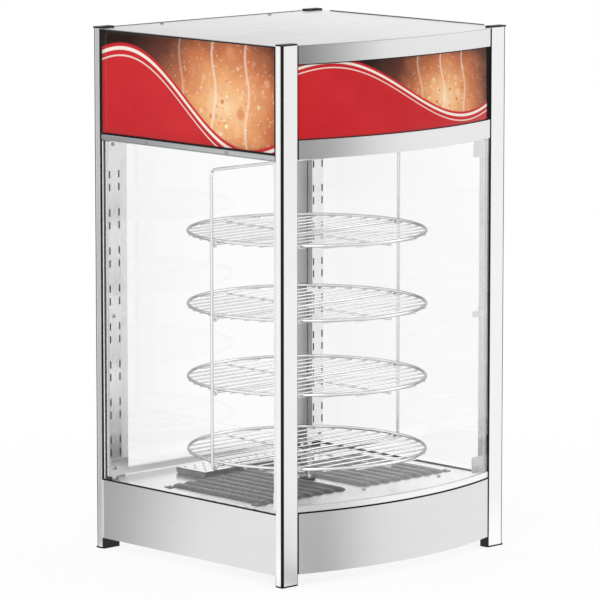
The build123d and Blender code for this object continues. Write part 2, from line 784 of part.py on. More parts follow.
def make_door():
    x = in_x - door_clear
    y0 = panel_y - door_thick - 0.5
    y1 = y0 + door_thick
    s, r = stile_w, door_rail_w
    frame = box(-x, x, y0, y1, door_low, door_high)
    frame -= box(-x + s, x - s, y0, y1, door_low + r, door_high - r)
    mid = (y0 + y1) / 2
    g = glass_t / 2 + 0.2
    k = door_groove
    frame -= box(-x + s - k, x - s + k, mid - g, mid + g, door_low + r - k, door_high - r + k)
    px, py = pivot_place()
    for z0, z1 in ((door_low - 1, door_low + 11), (door_high - 11, door_high + 1)):
        frame -= rod((px, py, z0), (px, py, z1), pivot_r + run_gap)
    save("door_frame", frame)
    g = glass_t / 2
    k = door_groove - fit_gap
    pane = box(-x + s - k, x - s + k, mid - g, mid + g, door_low + r - k, door_high - r + k)
    save("door_glass", pane)
    hx = x - s / 2
    out = panel_y + handle_out - handle_r
    z0, z1 = handle_z - handle_len / 2, handle_z + handle_len / 2
    grip = rod((hx, out, z0 - 10), (hx, out, z1 + 10), handle_r)
    grip = fillet(grip.edges().filter_by(GeomType.CIRCLE), 2.0)
    for z in (z0, z1):
        grip += rod((hx, y1, z), (hx, out, z), handle_r - 1)
        grip += rod((hx, y1, z), (hx, y1 + 2, z), handle_r + 2)
    save("door_handle", grip)
    save("door_pivots", *pivots(px, py, y0, y1))
    top = deck_top
    reach = x - s - 2.0
    catch = box(reach - catch_len, reach, y0 - catch_deep, y0 - fit_gap, top, top + catch_high)
    save("door_catch", fillet(catch.edges().filter_by(Axis.Z), 2.0))


def pivot_place():
    return (-(in_x - door_clear) + pivot_in, panel_y - door_thick - 0.5 + pivot_back)


def pivots(px, py, y0, y1):
    """Fixed plates with a pin, over and under the hinged stile."""
    x0, x1 = -in_x + fit_gap, px + 14
    pins = []
    top = header_bottom
    upper = box(x0, x1, y0, y1, top - pivot_plate, top)
    upper += rod((px, py, top - pivot_plate), (px, py, door_high - 10), pivot_r)
    pins.append(upper)
    lower = box(x0, x1, y0, y1 - 0.3, deck_top, deck_top + pivot_plate)
    lower += rod((px, py, deck_top + pivot_plate), (px, py, door_low + 10), pivot_r)
    pins.append(lower)
    return pins


# Controls

def rocker_axis_y():
    return panel_y - 1.0


def make_switches():
    w, h, t = bezel
    housings = []
    for name, x in zip(("switch_light", "switch_heat"), switch_x):
        y = rocker_axis_y()
        body = box(x - w / 2, x + w / 2, panel_y, panel_y + t, control_z - h / 2, control_z + h / 2)
        body = chamfer(body.faces().sort_by(Axis.Y)[-1].edges(), 0.8)
        w, h = w - bezel_lip, h - bezel_lip
        body += box(
            x - w / 2, x + w / 2, panel_y - housing_depth, panel_y,
            control_z - h / 2, control_z + h / 2,
        )
        half, r = rocker_len / 2 + rocker_gap, rocker_r + rocker_gap
        cavity = rod((x - half, y, control_z), (x + half, y, control_z), r)
        cavity += box(x - half, x + half, y, panel_y + t + 1, control_z - r, control_z + r)
        housings.append(body - cavity)
        key = Rot(0, 90, 0) * Cylinder(rocker_r, rocker_len)
        for tilt in (-rocker_tilt, rocker_tilt):
            block = box(-rocker_len, rocker_len, -20, 3.2, -20, 20)
            key &= Rot(tilt, 0, 0) * block
        save(name, Pos(x, y, control_z) * Rot(rocker_tilt, 0, 0) * key)
    save("switch_housings", *housings)


def make_thermostat():
    x, z = dial_x, control_z
    body = box(x - 18, x + 18, panel_y - sheet - 26, panel_y - sheet, z - 18, z + 18)
    body += rod((x, panel_y - sheet, z), (x, panel_y + 12, z), shaft_r)
    save("thermostat", body)
    knob = rod((x, panel_y + 0.6, z), (x, panel_y + 0.6 + knob_h, z), knob_r - 3)
    skirt = rod((x, panel_y + 0.6, z), (x, panel_y + 4.6, z), knob_r)
    knob = fillet(knob.edges().filter_by(GeomType.CIRCLE).sort_by(Axis.Y)[-1:], 2.0)
    knob += chamfer(skirt.edges().filter_by(GeomType.CIRCLE).sort_by(Axis.Y)[-1:], 1.0)
    knob += box(x - 2.5, x + 2.5, panel_y + 4, panel_y + 2.6 + knob_h, z - 2, z + knob_r - 3.5)
    for i in range(18):
        a = math.radians(i * 20 + 10)
        cx, cz = x + (knob_r - 2.6) * math.sin(a), z + (knob_r - 2.6) * math.cos(a)
        knob -= rod((cx, panel_y + 5.2, cz), (cx, panel_y + 14, cz), 1.2)
    knob -= rod((x, panel_y, z), (x, panel_y + 13, z), shaft_r + run_gap)
    save("thermostat_knob", knob)


def make_inlet():
    """A socket for a detachable lead, in the rear panel."""
    x, z, y = inlet_x, control_z, panel_y
    body = box(x - 25, x + 25, y, y + 3, z - 14, z + 14)
    body = chamfer(body.faces().sort_by(Axis.Y)[-1].edges(), 1.0)
    body += box(x - 13.8, x + 13.8, y - 22, y, z - 9.8, z + 9.8)
    body -= box(x - 12.2, x + 12.2, y - 14, y + 4, z - 8.2, z + 8.2)
    for dx, dz in ((-7, 2), (7, 2), (0, -2)):
        body += box(x + dx - 1, x + dx + 1, y - 15, y + 1, z + dz - 2, z + dz + 2)
    save("power_inlet", body)


# Screws, all of one kind

def make_screws():
    screws = []
    y = -in_y + pilaster_d + sheet
    for z, *_ in brackets:
        one = screw(-bracket_screw_x(), y, z, (0, -1, 0), 6)
        screws += [at_corner(one, sx, sy) for sx, sy in corners.values()]
    for centre in cover_centres():
        for x, y in cover_screw_points(centre):
            screws.append(screw(x, y, deck_top + cover_sheet, (0, 0, -1), 8))
    for x, y in deck_screws:
        screws.append(screw(x, y, deck_top, (0, 0, -1), 8))
    rail_z = header_bottom - 3.0 + side_rail_h / 2
    for sx in (-1, 1):
        for y in rail_screw_y:
            screws.append(screw(sx * (panel_x + 1.0), y, rail_z, (-sx, 0, 0), 5))
    for x in top_screw_x:
        screws.append(screw(x, top_screw_y, case_top + sheet, (0, 0, -1), 6))
    save("screws", *screws)


os.makedirs("parts", exist_ok=True)
make_posts()
make_base()
make_deck()
make_front_glass()
make_seals()
make_side_glass()
make_header()
make_ceiling_and_lamp()
make_pilasters()
make_heaters()
make_tray()
make_carrier()
make_drive()
make_door()
make_switches()
make_thermostat()
make_inlet()
make_screws()
print("front bow radius", round(arc_radius(front_bulge), 1), "origin shift", round(middle_shift, 2))
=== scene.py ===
# %% [markdown]
# A heated display case for round food pans: four wire racks turn on a carrier inside a glass cabinet.
# The cabinet stands on four aluminium posts, with steel panels below and a lit sign header above.
# The solid model already has every part at its size, so most cells here are about finish: how drawn
# steel, anodised aluminium, plated wire and clear glass take the light. Parts that need a rounder or
# a printed surface are worked out again as surfaces.

# %% Load the frame
import math
import bpy
import numpy as np
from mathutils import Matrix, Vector


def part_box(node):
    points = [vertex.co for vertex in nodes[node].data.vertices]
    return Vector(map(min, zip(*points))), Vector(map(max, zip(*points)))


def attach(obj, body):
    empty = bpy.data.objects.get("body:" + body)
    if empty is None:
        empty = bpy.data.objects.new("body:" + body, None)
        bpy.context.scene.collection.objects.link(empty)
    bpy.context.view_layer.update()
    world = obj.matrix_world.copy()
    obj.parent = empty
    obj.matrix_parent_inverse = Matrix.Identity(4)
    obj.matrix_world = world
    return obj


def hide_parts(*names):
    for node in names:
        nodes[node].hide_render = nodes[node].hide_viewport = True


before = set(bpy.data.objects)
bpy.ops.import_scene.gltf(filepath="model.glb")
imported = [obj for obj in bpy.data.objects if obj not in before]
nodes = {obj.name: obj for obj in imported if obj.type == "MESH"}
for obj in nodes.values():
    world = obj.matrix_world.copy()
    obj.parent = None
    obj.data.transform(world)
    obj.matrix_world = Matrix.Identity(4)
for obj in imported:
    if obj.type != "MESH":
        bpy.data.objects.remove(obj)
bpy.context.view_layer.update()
MM = 0.001

# %% [markdown]
# The sizes of the cabinet are read from the frame, so nothing is fitted by eye. Its front is an arc
# through the two front posts, and three numbers give the arc: half the width between the posts, the
# line on which a flat front would lie, and how far the arc stands in front of that line. The rear
# panel tells how far such a line lies behind the outer faces of the posts.

# %% Read the sizes of the cabinet
post_low, post_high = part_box("post_front_left")
half_gap = -post_high.x
panel_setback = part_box("post_rear_right")[1].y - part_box("base_rear")[1].y
front_line = post_low.y + panel_setback
lower_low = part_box("header_band_lower")[0]
upper_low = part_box("header_band_upper")[0]
lower_bow = front_line - lower_low.y
upper_bow = front_line - upper_low.y
print("half gap", round(half_gap, 4), "bows", round(lower_bow, 4), round(upper_bow, 4))

# %% [markdown]
# A new surface is a grid of points with faces between them. The points of a whole piece are worked
# out as one array and handed to the mesh at once, which is quicker than adding them one by one and
# keeps the formula of the shape in one place. The same function gives the piece its body and finish.


# %% Surfaces from arrays
def make_piece(name, points, faces, body, material, uv=None):
    """A mesh from an array of points and an array of four-cornered faces, riding on a body."""
    mesh = bpy.data.meshes.new(name)
    mesh.from_pydata(points.tolist(), [], faces.tolist())
    mesh.polygons.foreach_set("use_smooth", np.full(len(mesh.polygons), True))
    if uv is not None:
        corner = np.zeros(len(mesh.loops), np.int32)
        mesh.loops.foreach_get("vertex_index", corner)
        layer = mesh.uv_layers.new(name="face")
        layer.data.foreach_set("uv", uv[corner].astype(np.float32).ravel())
    mesh.update()
    piece = bpy.data.objects.new(name, mesh)
    bpy.context.scene.collection.objects.link(piece)
    mesh.materials.append(material)
    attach(piece, body)
    return piece


def grid_faces(rows, columns, wrap_rows=False, wrap_columns=False):
    """Four-cornered faces over points that are stored row by row."""
    index = np.arange(rows * columns).reshape(rows, columns)
    if wrap_rows:
        index = np.vstack([index, index[:1]])
    if wrap_columns:
        index = np.hstack([index, index[:, :1]])
    corners = [index[:-1, :-1], index[1:, :-1], index[1:, 1:], index[:-1, 1:]]
    return np.stack(corners, axis=-1).reshape(-1, 4)


def join(parts):
    """Stack several point and face arrays into one pair, moving each part's face numbers along."""
    counts = np.cumsum([0] + [len(points) for points, _ in parts[:-1]])
    points = np.vstack([points for points, _ in parts])
    faces = np.vstack([faces + count for (_, faces), count in zip(parts, counts)])
    return points, faces


print("surface tools ready")

# %% [markdown]
# Wire is a round section carried along a path. A curve with a bevel would give the same look for one
# wire, but a rack is about twenty wires and forty welds that should be one piece, so the sections
# are worked out as arrays too.

# %% Wires
dome_rings = 4
dome_tip = 0.02


def tube(path, radius, up, sides=10, closed=False):
    """Points at path + radius * (cos a * side + sin a * over), where side and over lie across the path.

    The radius may differ along the path, so an open tube can end in a small dome of shrinking rings.
    """
    path = np.asarray(path, float)
    radius = np.broadcast_to(np.asarray(radius, float), len(path))
    if closed:
        along = np.roll(path, -1, axis=0) - np.roll(path, 1, axis=0)
    else:
        along = np.gradient(path, axis=0)
    along /= np.linalg.norm(along, axis=1, keepdims=True)
    side = np.cross(along, np.asarray(up, float))
    side /= np.linalg.norm(side, axis=1, keepdims=True)
    over = np.cross(side, along)
    a = np.linspace(0, 2 * np.pi, sides, endpoint=False)[None, :, None]
    ring = np.cos(a) * side[:, None, :] + np.sin(a) * over[:, None, :]
    points = path[:, None, :] + radius[:, None, None] * ring
    faces = grid_faces(len(path), sides, wrap_rows=closed, wrap_columns=True)[:, ::-1]
    return points.reshape(-1, 3), faces


def domed_rod(start, end, radius, up, sides=10):
    """A straight tube whose last rings shrink like a quarter circle, so its ends are round."""
    start, end = np.asarray(start, float), np.asarray(end, float)
    along = (end - start) / np.linalg.norm(end - start)
    turn = np.linspace(0, np.pi / 2, dome_rings)
    first = start + along * radius * (1 - np.sin(turn))[::-1, None]
    last = end - along * radius * (1 - np.sin(turn))[:, None]
    small = np.maximum(np.cos(turn), dome_tip) * radius
    return tube(np.vstack([first, last]), np.concatenate([small[::-1], small]), up, sides)


print("wire tools ready")

# %% [markdown]
# Every finish is a small tree of nodes. A node that is added by hand takes four or five lines, so
# these helpers add one node each, link or set its inputs, and return what it puts out.


# %% Small helpers for node trees
def feed(tree, socket, value):
    """Link a socket, or set a constant."""
    if isinstance(value, bpy.types.NodeSocket):
        tree.links.new(value, socket)
    else:
        socket.default_value = value


def calc(tree, operation, *values):
    """A sum, product or other operation on numbers."""
    node = tree.nodes.new("ShaderNodeMath")
    node.operation = operation
    for socket, value in zip(node.inputs, values):
        feed(tree, socket, value)
    return node.outputs[0]


def vector_calc(tree, operation, *values):
    """The same for vectors."""
    node = tree.nodes.new("ShaderNodeVectorMath")
    node.operation = operation
    for socket, value in zip(node.inputs, values):
        feed(tree, socket, value)
    return node.outputs["Value"] if operation == "LENGTH" else node.outputs[0]


def split(tree, vector):
    """The parts of a vector, called X, Y and Z."""
    node = tree.nodes.new("ShaderNodeSeparateXYZ")
    feed(tree, node.inputs[0], vector)
    return node.outputs


def blend_colour(tree, factor, first, second):
    """The first colour where the factor is 0, the second where it is 1."""
    node = tree.nodes.new("ShaderNodeMix")
    node.data_type = "RGBA"
    feed(tree, node.inputs["Factor"], factor)
    feed(tree, node.inputs["A"], first)
    feed(tree, node.inputs["B"], second)
    return node.outputs["Result"]


def rescale(tree, value, low, high, to_low, to_high, smooth=False):
    """The value carried from one range to another and held at its ends."""
    node = tree.nodes.new("ShaderNodeMapRange")
    node.interpolation_type = "SMOOTHSTEP" if smooth else "LINEAR"
    for socket, number in zip(node.inputs, (value, low, high, to_low, to_high)):
        feed(tree, socket, number)
    return node.outputs[0]


def noise(tree, vector, scale, detail=2.0, rough=0.5):
    """Soft random values from 0 to 1, the same for the same place each time."""
    node = tree.nodes.new("ShaderNodeTexNoise")
    feed(tree, node.inputs["Vector"], vector)
    feed(tree, node.inputs["Scale"], scale)
    node.inputs["Detail"].default_value = detail
    node.inputs["Roughness"].default_value = rough
    return node.outputs["Fac"]


def object_place(tree):
    """The place on the piece, in metres."""
    return tree.nodes.new("ShaderNodeTexCoord").outputs["Object"]


def new_group(name, inputs, outputs):
    """An empty node group with named sockets; returns the tree, its input and its output node."""
    tree = bpy.data.node_groups.new(name, "ShaderNodeTree")
    for label, kind, value in inputs:
        socket = tree.interface.new_socket(name=label, in_out="INPUT", socket_type=kind)
        socket.default_value = value
    for label, kind in outputs:
        tree.interface.new_socket(name=label, in_out="OUTPUT", socket_type=kind)
    return tree, tree.nodes.new("NodeGroupInput"), tree.nodes.new("NodeGroupOutput")


def place_group(tree, group, **values):
    """A group set into a tree, with its own values; a space in a socket's name is written as _."""
    node = tree.nodes.new("ShaderNodeGroup")
    node.node_tree = group
    for label, value in values.items():
        feed(tree, node.inputs[label.replace("_", " ")], value)
    return node


FLOAT, VECTOR, COLOUR = "NodeSocketFloat", "NodeSocketVector", "NodeSocketColor"
print("node helpers ready")

# %% [markdown]
# Three effects are shared by several finishes, so each is a node group that is built once. Drawn metal
# shows fine lines in the direction in which it was brushed: noise that is squeezed across that
# direction and stretched along it. Handling leaves large soft patches that change only how sharply
# the metal reflects. Moulded plastic and baked paint have a finely pebbled skin. Pictures of these
# would need every part unwrapped, while noise on the part's own coordinates fits it as it is.

# %% Brushed grain, handling marks and pebbled skin
broad_scale = 0.11
mark_from, mark_full = 0.45, 0.7
slow_scale = 14.0


def build_grain():
    """Streaks: two noises, one fine and one broad, on a position stretched along the brushing."""
    tree, given, out = new_group(
        "Brushed grain",
        [("Stretch", VECTOR, (1, 1, 1)), ("Amount", FLOAT, 0.5)],
        [("Streaks", FLOAT)],
    )
    squeezed = vector_calc(tree, "MULTIPLY", object_place(tree), given.outputs["Stretch"])
    fine = noise(tree, squeezed, 1.0, detail=3.0, rough=0.6)
    broad = noise(tree, squeezed, broad_scale, detail=2.0, rough=0.5)
    streaks = calc(tree, "ADD", calc(tree, "MULTIPLY", fine, 0.5), calc(tree, "MULTIPLY", broad, 0.5))
    centred = calc(tree, "SUBTRACT", streaks, 0.5)
    feed(tree, out.inputs["Streaks"], calc(tree, "MULTIPLY", centred, given.outputs["Amount"]))
    return tree


def build_handling():
    """Soft patches where hands and cloths have been: the upper values of a slow noise."""
    tree, given, out = new_group(
        "Handling marks",
        [("Size", FLOAT, 7.0), ("Amount", FLOAT, 0.5)],
        [("Marks", FLOAT)],
    )
    patches = noise(tree, object_place(tree), given.outputs["Size"], detail=4.0, rough=0.65)
    marks = rescale(tree, patches, mark_from, mark_full, 0.0, 1.0, smooth=True)
    feed(tree, out.inputs["Marks"], calc(tree, "MULTIPLY", marks, given.outputs["Amount"]))
    return tree


def build_skin():
    """The fine pebbles of moulded plastic and baked paint, and a slow change of tone under them."""
    tree, given, out = new_group(
        "Pebbled skin",
        [("Size", FLOAT, 900.0), ("Amount", FLOAT, 0.5)],
        [("Height", FLOAT), ("Tone", FLOAT)],
    )
    where = object_place(tree)
    fine = noise(tree, where, given.outputs["Size"], detail=2.0, rough=0.5)
    slow = noise(tree, where, slow_scale, detail=3.0, rough=0.6)
    feed(tree, out.inputs["Height"], calc(tree, "MULTIPLY", fine, given.outputs["Amount"]))
    feed(tree, out.inputs["Tone"], calc(tree, "SUBTRACT", slow, 0.5))
    return tree


GRAIN = build_grain()
HANDLING = build_handling()
SKIN = build_skin()
print("effects", [group.name for group in (GRAIN, HANDLING, SKIN)])

# %% [markdown]
# Each finish starts as a Principled shader. Most of them then need a colour that swings a little round
# its middle, because no real sheet has one flat colour, and the moulded ones need a fine relief.


# %% First steps of a finish
def start_material(name):
    """A new material, with its tree and its Principled shader."""
    material = bpy.data.materials.new(name)
    material.use_nodes = True
    return material, material.node_tree, material.node_tree.nodes["Principled BSDF"]


def grey(level):
    """A neutral colour."""
    return (level, level, level, 1)


def shade(tree, colour, tone, amount):
    """The colour made darker and lighter by a value that swings round zero."""
    dark = tuple(c * (1 - amount) for c in colour) + (1,)
    light = tuple(min(1, c * (1 + amount)) for c in colour) + (1,)
    return blend_colour(tree, calc(tree, "ADD", tone, 0.5), dark, light)


def bump(tree, shader, height, distance, strength):
    """A relief that only turns the light, for what is finer than the mesh."""
    node = tree.nodes.new("ShaderNodeBump")
    node.inputs["Strength"].default_value = strength
    node.inputs["Distance"].default_value = distance
    feed(tree, node.inputs["Height"], height)
    feed(tree, shader.inputs["Normal"], node.outputs["Normal"])


print("first steps ready")

# %% [markdown]
# Drawn metal is one recipe with different numbers: the colour, how rough it is, and the direction of
# the brushing. A high number in the stretch means fine lines across that axis. Large sheets need one
# thing more. They mirror a room that is lighter at one end than at the other, and a plain studio
# gives too little of that, so some of them change to a second tone between two places: a painted
# reflection. Where a sheet is bent in at a post, its end is a dark strip: a painted shadow of the gap.

# %% Recipe of drawn metal
ALONG_X = (4.0, 260.0, 260.0)
ALONG_Y = (260.0, 4.0, 260.0)
ALONG_Z = (260.0, 260.0, 3.0)
streak_roughness = 0.08
edge_shade_from, edge_shade_to = 0.30, 0.80
seam_width, seam_fade, seam_shadow_grey = 2.2 * MM, 0.3 * MM, 0.04


def metal(
    name, colour, rough, stretch, streak=0.05, marks=0.05, second=None, edge=None, metallic=1.0,
    seam_at=None,
):
    """Drawn metal. The second tone is (axis, from, to, grey): painted light and shade that sets in
    between two places along an axis. The edge is a painted shade: the grey that thin round wire gets
    where it turns away from the eye. The seam is the X at which a sheet ends at a post: a painted shadow
    of the gap there, as wide as the sheet is bent."""
    material, tree, shader = start_material(name)
    shader.inputs["Metallic"].default_value = metallic
    grain = place_group(tree, GRAIN, Stretch=stretch, Amount=1.0)
    hands = place_group(tree, HANDLING, Size=6.0, Amount=marks)
    tone = shade(tree, colour, grain.outputs["Streaks"], streak)
    place = split(tree, object_place(tree))
    # The second tone is painted light and shade, set in along one axis.
    if second:
        axis, start, end, level = second
        there = rescale(tree, place[axis], start, end, 0.0, 1.0)
        tone = blend_colour(tree, there, tone, grey(level))
    # Painted shade where thin wire turns away from the eye.
    if edge:
        turned = tree.nodes.new("ShaderNodeLayerWeight")
        turned.inputs["Blend"].default_value = 0.5
        away = rescale(tree, turned.outputs["Facing"], edge_shade_from, edge_shade_to, 0.0, 1.0, smooth=True)
        tone = blend_colour(tree, away, tone, grey(edge))
    # Painted shadow of the gap where a sheet bends in at a post.
    if seam_at is not None:
        seam_end = seam_at + seam_width
        joint = rescale(tree, place["X"], seam_end, seam_end - seam_fade, 0.0, 1.0)
        tone = blend_colour(tree, joint, tone, grey(seam_shadow_grey))
    feed(tree, shader.inputs["Base Color"], tone)
    lined = calc(tree, "MULTIPLY_ADD", grain.outputs["Streaks"], streak_roughness, rough)
    feed(tree, shader.inputs["Roughness"], calc(tree, "ADD", lined, hands.outputs["Marks"]))
    return material


print("recipe of drawn metal ready")

# %% [markdown]
# The panels, the bands and the top are satin steel. The panels and bands are brushed from post to
# post, the side panels from front to rear. They are one steel, and their greys differ a little only
# to make up for what a plain studio doesn't mirror in them. The posts and rails are anodised
# aluminium, whose brushed lines are fainter. The side rails get a darker grey of it than the posts:
# a painted shade.

# %% Steel sheets and aluminium of the outside
# Painted tones: the upper band and the top darken towards the left, a painted reflection; the posts turn
# white near their feet, a painted light; the door frame's hinge stile is darker, a painted shade. The
# bowed panel and the two bands also get a painted shadow at their left end.
upper_band_shade = ("X", -0.055, -0.245, 0.40)
top_shade = ("X", 0.20, -0.25, 0.58)
post_foot_light = ("Z", 0.10, 0.03, 1.0)
hinge_stile_shade = ("X", 0.205, 0.225, 0.50)

panel_finish = metal("satin steel brushed across", (0.77, 0.77, 0.77), 0.18, ALONG_X)
front_panel_finish = metal(
    "satin steel bowed panel", (0.77, 0.77, 0.77), 0.18, ALONG_X, seam_at=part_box("base_front")[0].x
)
band_finish = metal(
    "satin steel lower band", (0.83, 0.83, 0.83), 0.18, ALONG_X, seam_at=lower_low.x
)
upper_band_finish = metal(
    "satin steel upper band", (0.82, 0.82, 0.82), 0.18, ALONG_X,
    second=upper_band_shade, seam_at=upper_low.x,
)
side_panel_finish = metal("satin steel brushed along the side", (0.76, 0.76, 0.76), 0.18, ALONG_Y)
top_finish = metal("satin steel top", (0.79, 0.79, 0.79), 0.20, ALONG_X, second=top_shade)
post_finish = metal(
    "anodised aluminium extrusion", (0.92, 0.92, 0.915), 0.20, ALONG_Z,
    streak=0.03, second=post_foot_light,
)
# The side rails' darker grey is a painted shade.
rail_finish = metal("anodised aluminium rail", (0.50, 0.51, 0.52), 0.20, ALONG_Y, streak=0.04)
bowed_rail_finish = metal(
    "anodised aluminium bowed rail", (0.95, 0.95, 0.945), 0.30, ALONG_X, streak=0.03
)
door_finish = metal(
    "anodised aluminium door frame", (0.97, 0.97, 0.965), 0.30, ALONG_Z,
    streak=0.03, second=hinge_stile_shade, metallic=0.45,
)
print("metals outside", len(bpy.data.materials))

# %% [markdown]
# Inside, the deck and the pilasters are the same steel. They see mostly white glass and so look
# paler, and that is set as paler greys: a painted light. The deck also darkens towards its left end,
# a painted shade. The pan and its lid are pressed from thin sheet: the pan and the lid's skirt are a
# dark grey, a painted shade, and the lid's top is lighter, a painted light. Wire is plated and very
# bright, with a painted dark line where its round side turns away. Layer Weight gives that line,
# because the mirrored room alone is too even to draw it.

# %% Metals of the inside
# Painted tones inside: paler greys on the deck and pilasters are painted light, the deck's darker left
# end is painted shade, and the pan and the lid's skirt are painted shade under a lighter top.
deck_shade = ("X", -0.10, -0.25, 0.80)
skirt_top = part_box("water_pan_lid")[1].z - 0.6 * MM
lid_top_light = ("Z", skirt_top, skirt_top + 0.3 * MM, 0.88)
WIRE_GRAIN, SCREW_GRAIN, SHEATH_GRAIN = (90, 90, 90), (400, 400, 400), (60, 60, 60)

deck_finish = metal("satin steel deck", (0.90, 0.90, 0.895), 0.18, ALONG_X, second=deck_shade)
pan_lid_shade_finish = metal(
    "pressed steel pan lid", (0.24, 0.24, 0.24), 0.22, ALONG_X, streak=0.06, second=lid_top_light
)
pilaster_finish = metal("satin steel pilaster", (0.88, 0.88, 0.88), 0.22, ALONG_Z)
# The wire's dark edge grey is a painted shade.
wire_finish = metal("bright plated wire", (0.90, 0.90, 0.90), 0.14, WIRE_GRAIN, edge=0.16)
turned_finish = metal("turned steel", (0.72, 0.72, 0.71), 0.16, ALONG_Z, streak=0.08)
screw_finish = metal("screw steel", (0.42, 0.42, 0.42), 0.22, SCREW_GRAIN, streak=0.15)
sheath_finish = metal(
    "oxidised heater sheath", (0.34, 0.32, 0.29), 0.42, SHEATH_GRAIN, streak=0.35, marks=0.15
)
print("metals in all", len(bpy.data.materials))

# %% [markdown]
# Caps, feet and switch housings are moulded plastic, the seals are rubber, and the heater covers and
# the motor are painted. All of them have a skin of tiny pebbles. As faces these would cost millions,
# so the skin is a bump, with a slow change of tone and a few marks of handling.

# %% Plastics, rubber and paint
skin_depth = 0.2 * MM


def moulded(name, colour, rough, size=900.0, relief=0.12, swing=0.15, coat=0.0, shine=0.5):
    """A plastic or a paint: the size and relief are those of its skin, the swing is that of its tone."""
    material, tree, shader = start_material(name)
    skin = place_group(tree, SKIN, Size=size, Amount=1.0)
    hands = place_group(tree, HANDLING, Size=9.0, Amount=0.10)
    feed(tree, shader.inputs["Base Color"], shade(tree, colour, skin.outputs["Tone"], swing))
    feed(tree, shader.inputs["Roughness"], calc(tree, "ADD", hands.outputs["Marks"], rough))
    shader.inputs["Coat Weight"].default_value = coat
    shader.inputs["Specular IOR Level"].default_value = shine
    bump(tree, shader, skin.outputs["Height"], skin_depth, relief)
    return material


black_plastic = moulded("black moulded plastic", (0.010, 0.010, 0.011), 0.42, shine=0.25)
black_rubber = moulded(
    "black seal rubber", (0.008, 0.008, 0.008), 0.6, size=600.0, relief=0.2, shine=0.15
)
cover_paint = moulded(
    "heat-resistant grey paint", (0.062, 0.062, 0.065), 0.24, size=700.0, relief=0.06
)
# The right cover has the same paint in a lighter grey: a painted reflection.
reflection_lit_cover_paint = moulded(
    "heat-resistant grey paint, painted reflection", (0.23, 0.23, 0.233), 0.24, size=700.0, relief=0.06
)
motor_paint = moulded("grey motor paint", (0.12, 0.13, 0.14), 0.45)
white_enamel = moulded(
    "white enamel", (0.80, 0.80, 0.78), 0.30, size=500.0, relief=0.05, swing=0.03
)
green_key = moulded("green rocker", (0.02, 0.22, 0.06), 0.25, relief=0.05, swing=0.1, coat=0.3)
red_key = moulded("red rocker", (0.45, 0.02, 0.02), 0.25, relief=0.05, swing=0.1, coat=0.3)
print("with plastics and paints", len(bpy.data.materials))

# %% [markdown]
# Clear glass would throw a full shadow on what is behind it, because a lamp's light can't be traced
# back through a refracting pane. So shadow and diffuse rays pass straight through, and the eye still
# sees the real shader. A faint haze of wiping marks keeps the panes from looking empty.


# %% Glass
def clear_glass(name, tint):
    """Refracting glass for the eye and for mirrors, and nothing at all for lamps and soft bounces."""
    material, tree, shader = start_material(name)
    shader.inputs["Base Color"].default_value = tint + (1,)
    shader.inputs["Transmission Weight"].default_value = 1.0
    shader.inputs["IOR"].default_value = 1.45
    hands = place_group(tree, HANDLING, Size=5.0, Amount=0.012)
    feed(tree, shader.inputs["Roughness"], hands.outputs["Marks"])
    through = tree.nodes.new("ShaderNodeBsdfTransparent")
    rays = tree.nodes.new("ShaderNodeLightPath")
    passing = calc(tree, "MAXIMUM", rays.outputs["Is Shadow Ray"], rays.outputs["Is Diffuse Ray"])
    choose = tree.nodes.new("ShaderNodeMixShader")
    feed(tree, choose.inputs[0], passing)
    tree.links.new(shader.outputs[0], choose.inputs[1])
    tree.links.new(through.outputs[0], choose.inputs[2])
    tree.links.new(choose.outputs[0], tree.nodes["Material Output"].inputs["Surface"])
    return material


glass_finish = clear_glass("clear pane", (0.994, 1.0, 0.997))
print("glass", glass_finish.name)

# %% [markdown]
# The lamp is a milky tube that glows evenly and fades towards its ends, where the metal caps are.
# The studio lights the case, so the glow is weak: it only makes the tube look switched on.

# %% Lamp tube
evenly_lit, faded_end, end_share = 0.14, 0.162, 0.35
cap_grey = (0.5, 0.5, 0.48, 1)


def glowing(name, colour, strength):
    """A tube along X that glows, with its colour turning to the caps' grey beyond the lit length."""
    material, tree, shader = start_material(name)
    shader.inputs["Roughness"].default_value = 0.3
    from_middle = calc(tree, "ABSOLUTE", split(tree, object_place(tree))["X"])
    lit = rescale(tree, from_middle, evenly_lit, faded_end, 1.0, end_share, smooth=True)
    tube_colour = blend_colour(tree, lit, cap_grey, colour + (1,))
    feed(tree, shader.inputs["Base Color"], tube_colour)
    feed(tree, shader.inputs["Emission Color"], tube_colour)
    shader.inputs["Emission Strength"].default_value = strength
    return material


lamp_finish = glowing("lamp glass", (1.0, 0.97, 0.90), 0.8)
print("lamp", lamp_finish.name)

# %% [markdown]
# The signs are printed and lacquered. The print here is a plain decoration in warm colours: a red
# wave along the foot of the sign, a glow behind it like an open oven, embers in the glow and a few
# wavy threads of steam. It is drawn with mathematics on the sign's own face coordinates, so the
# same print bends with the front sign and lies flat on the side signs. The wave runs once from end
# to end of any sign. All else is measured in heights of the sign, along it as well, so that round
# things stay round on a long sign.

# %% Glow and embers of the print
glow_stops = [
    (0.10, (0.96, 0.69, 0.40, 1)), (0.30, (0.86, 0.42, 0.18, 1)), (0.50, (0.58, 0.18, 0.07, 1)),
    (0.72, (0.12, 0.036, 0.024, 1)), (1.0, (0.020, 0.008, 0.006, 1)),
]
glow_spread, glow_ripple, ripple_scale = 0.72, 0.25, 3.0
ember_sizes = [(6.0, 0.90, 0.55), (14.0, 0.80, 0.90), (30.0, 0.95, 0.80)]
ember_edge, ember_core, fade_start = 0.42, 0.20, 0.10
never_lit, always_lit = 0.35, 0.75
ember_red, ember_yellow = (0.62, 0.10, 0.03, 1), (1.0, 0.90, 0.60, 1)


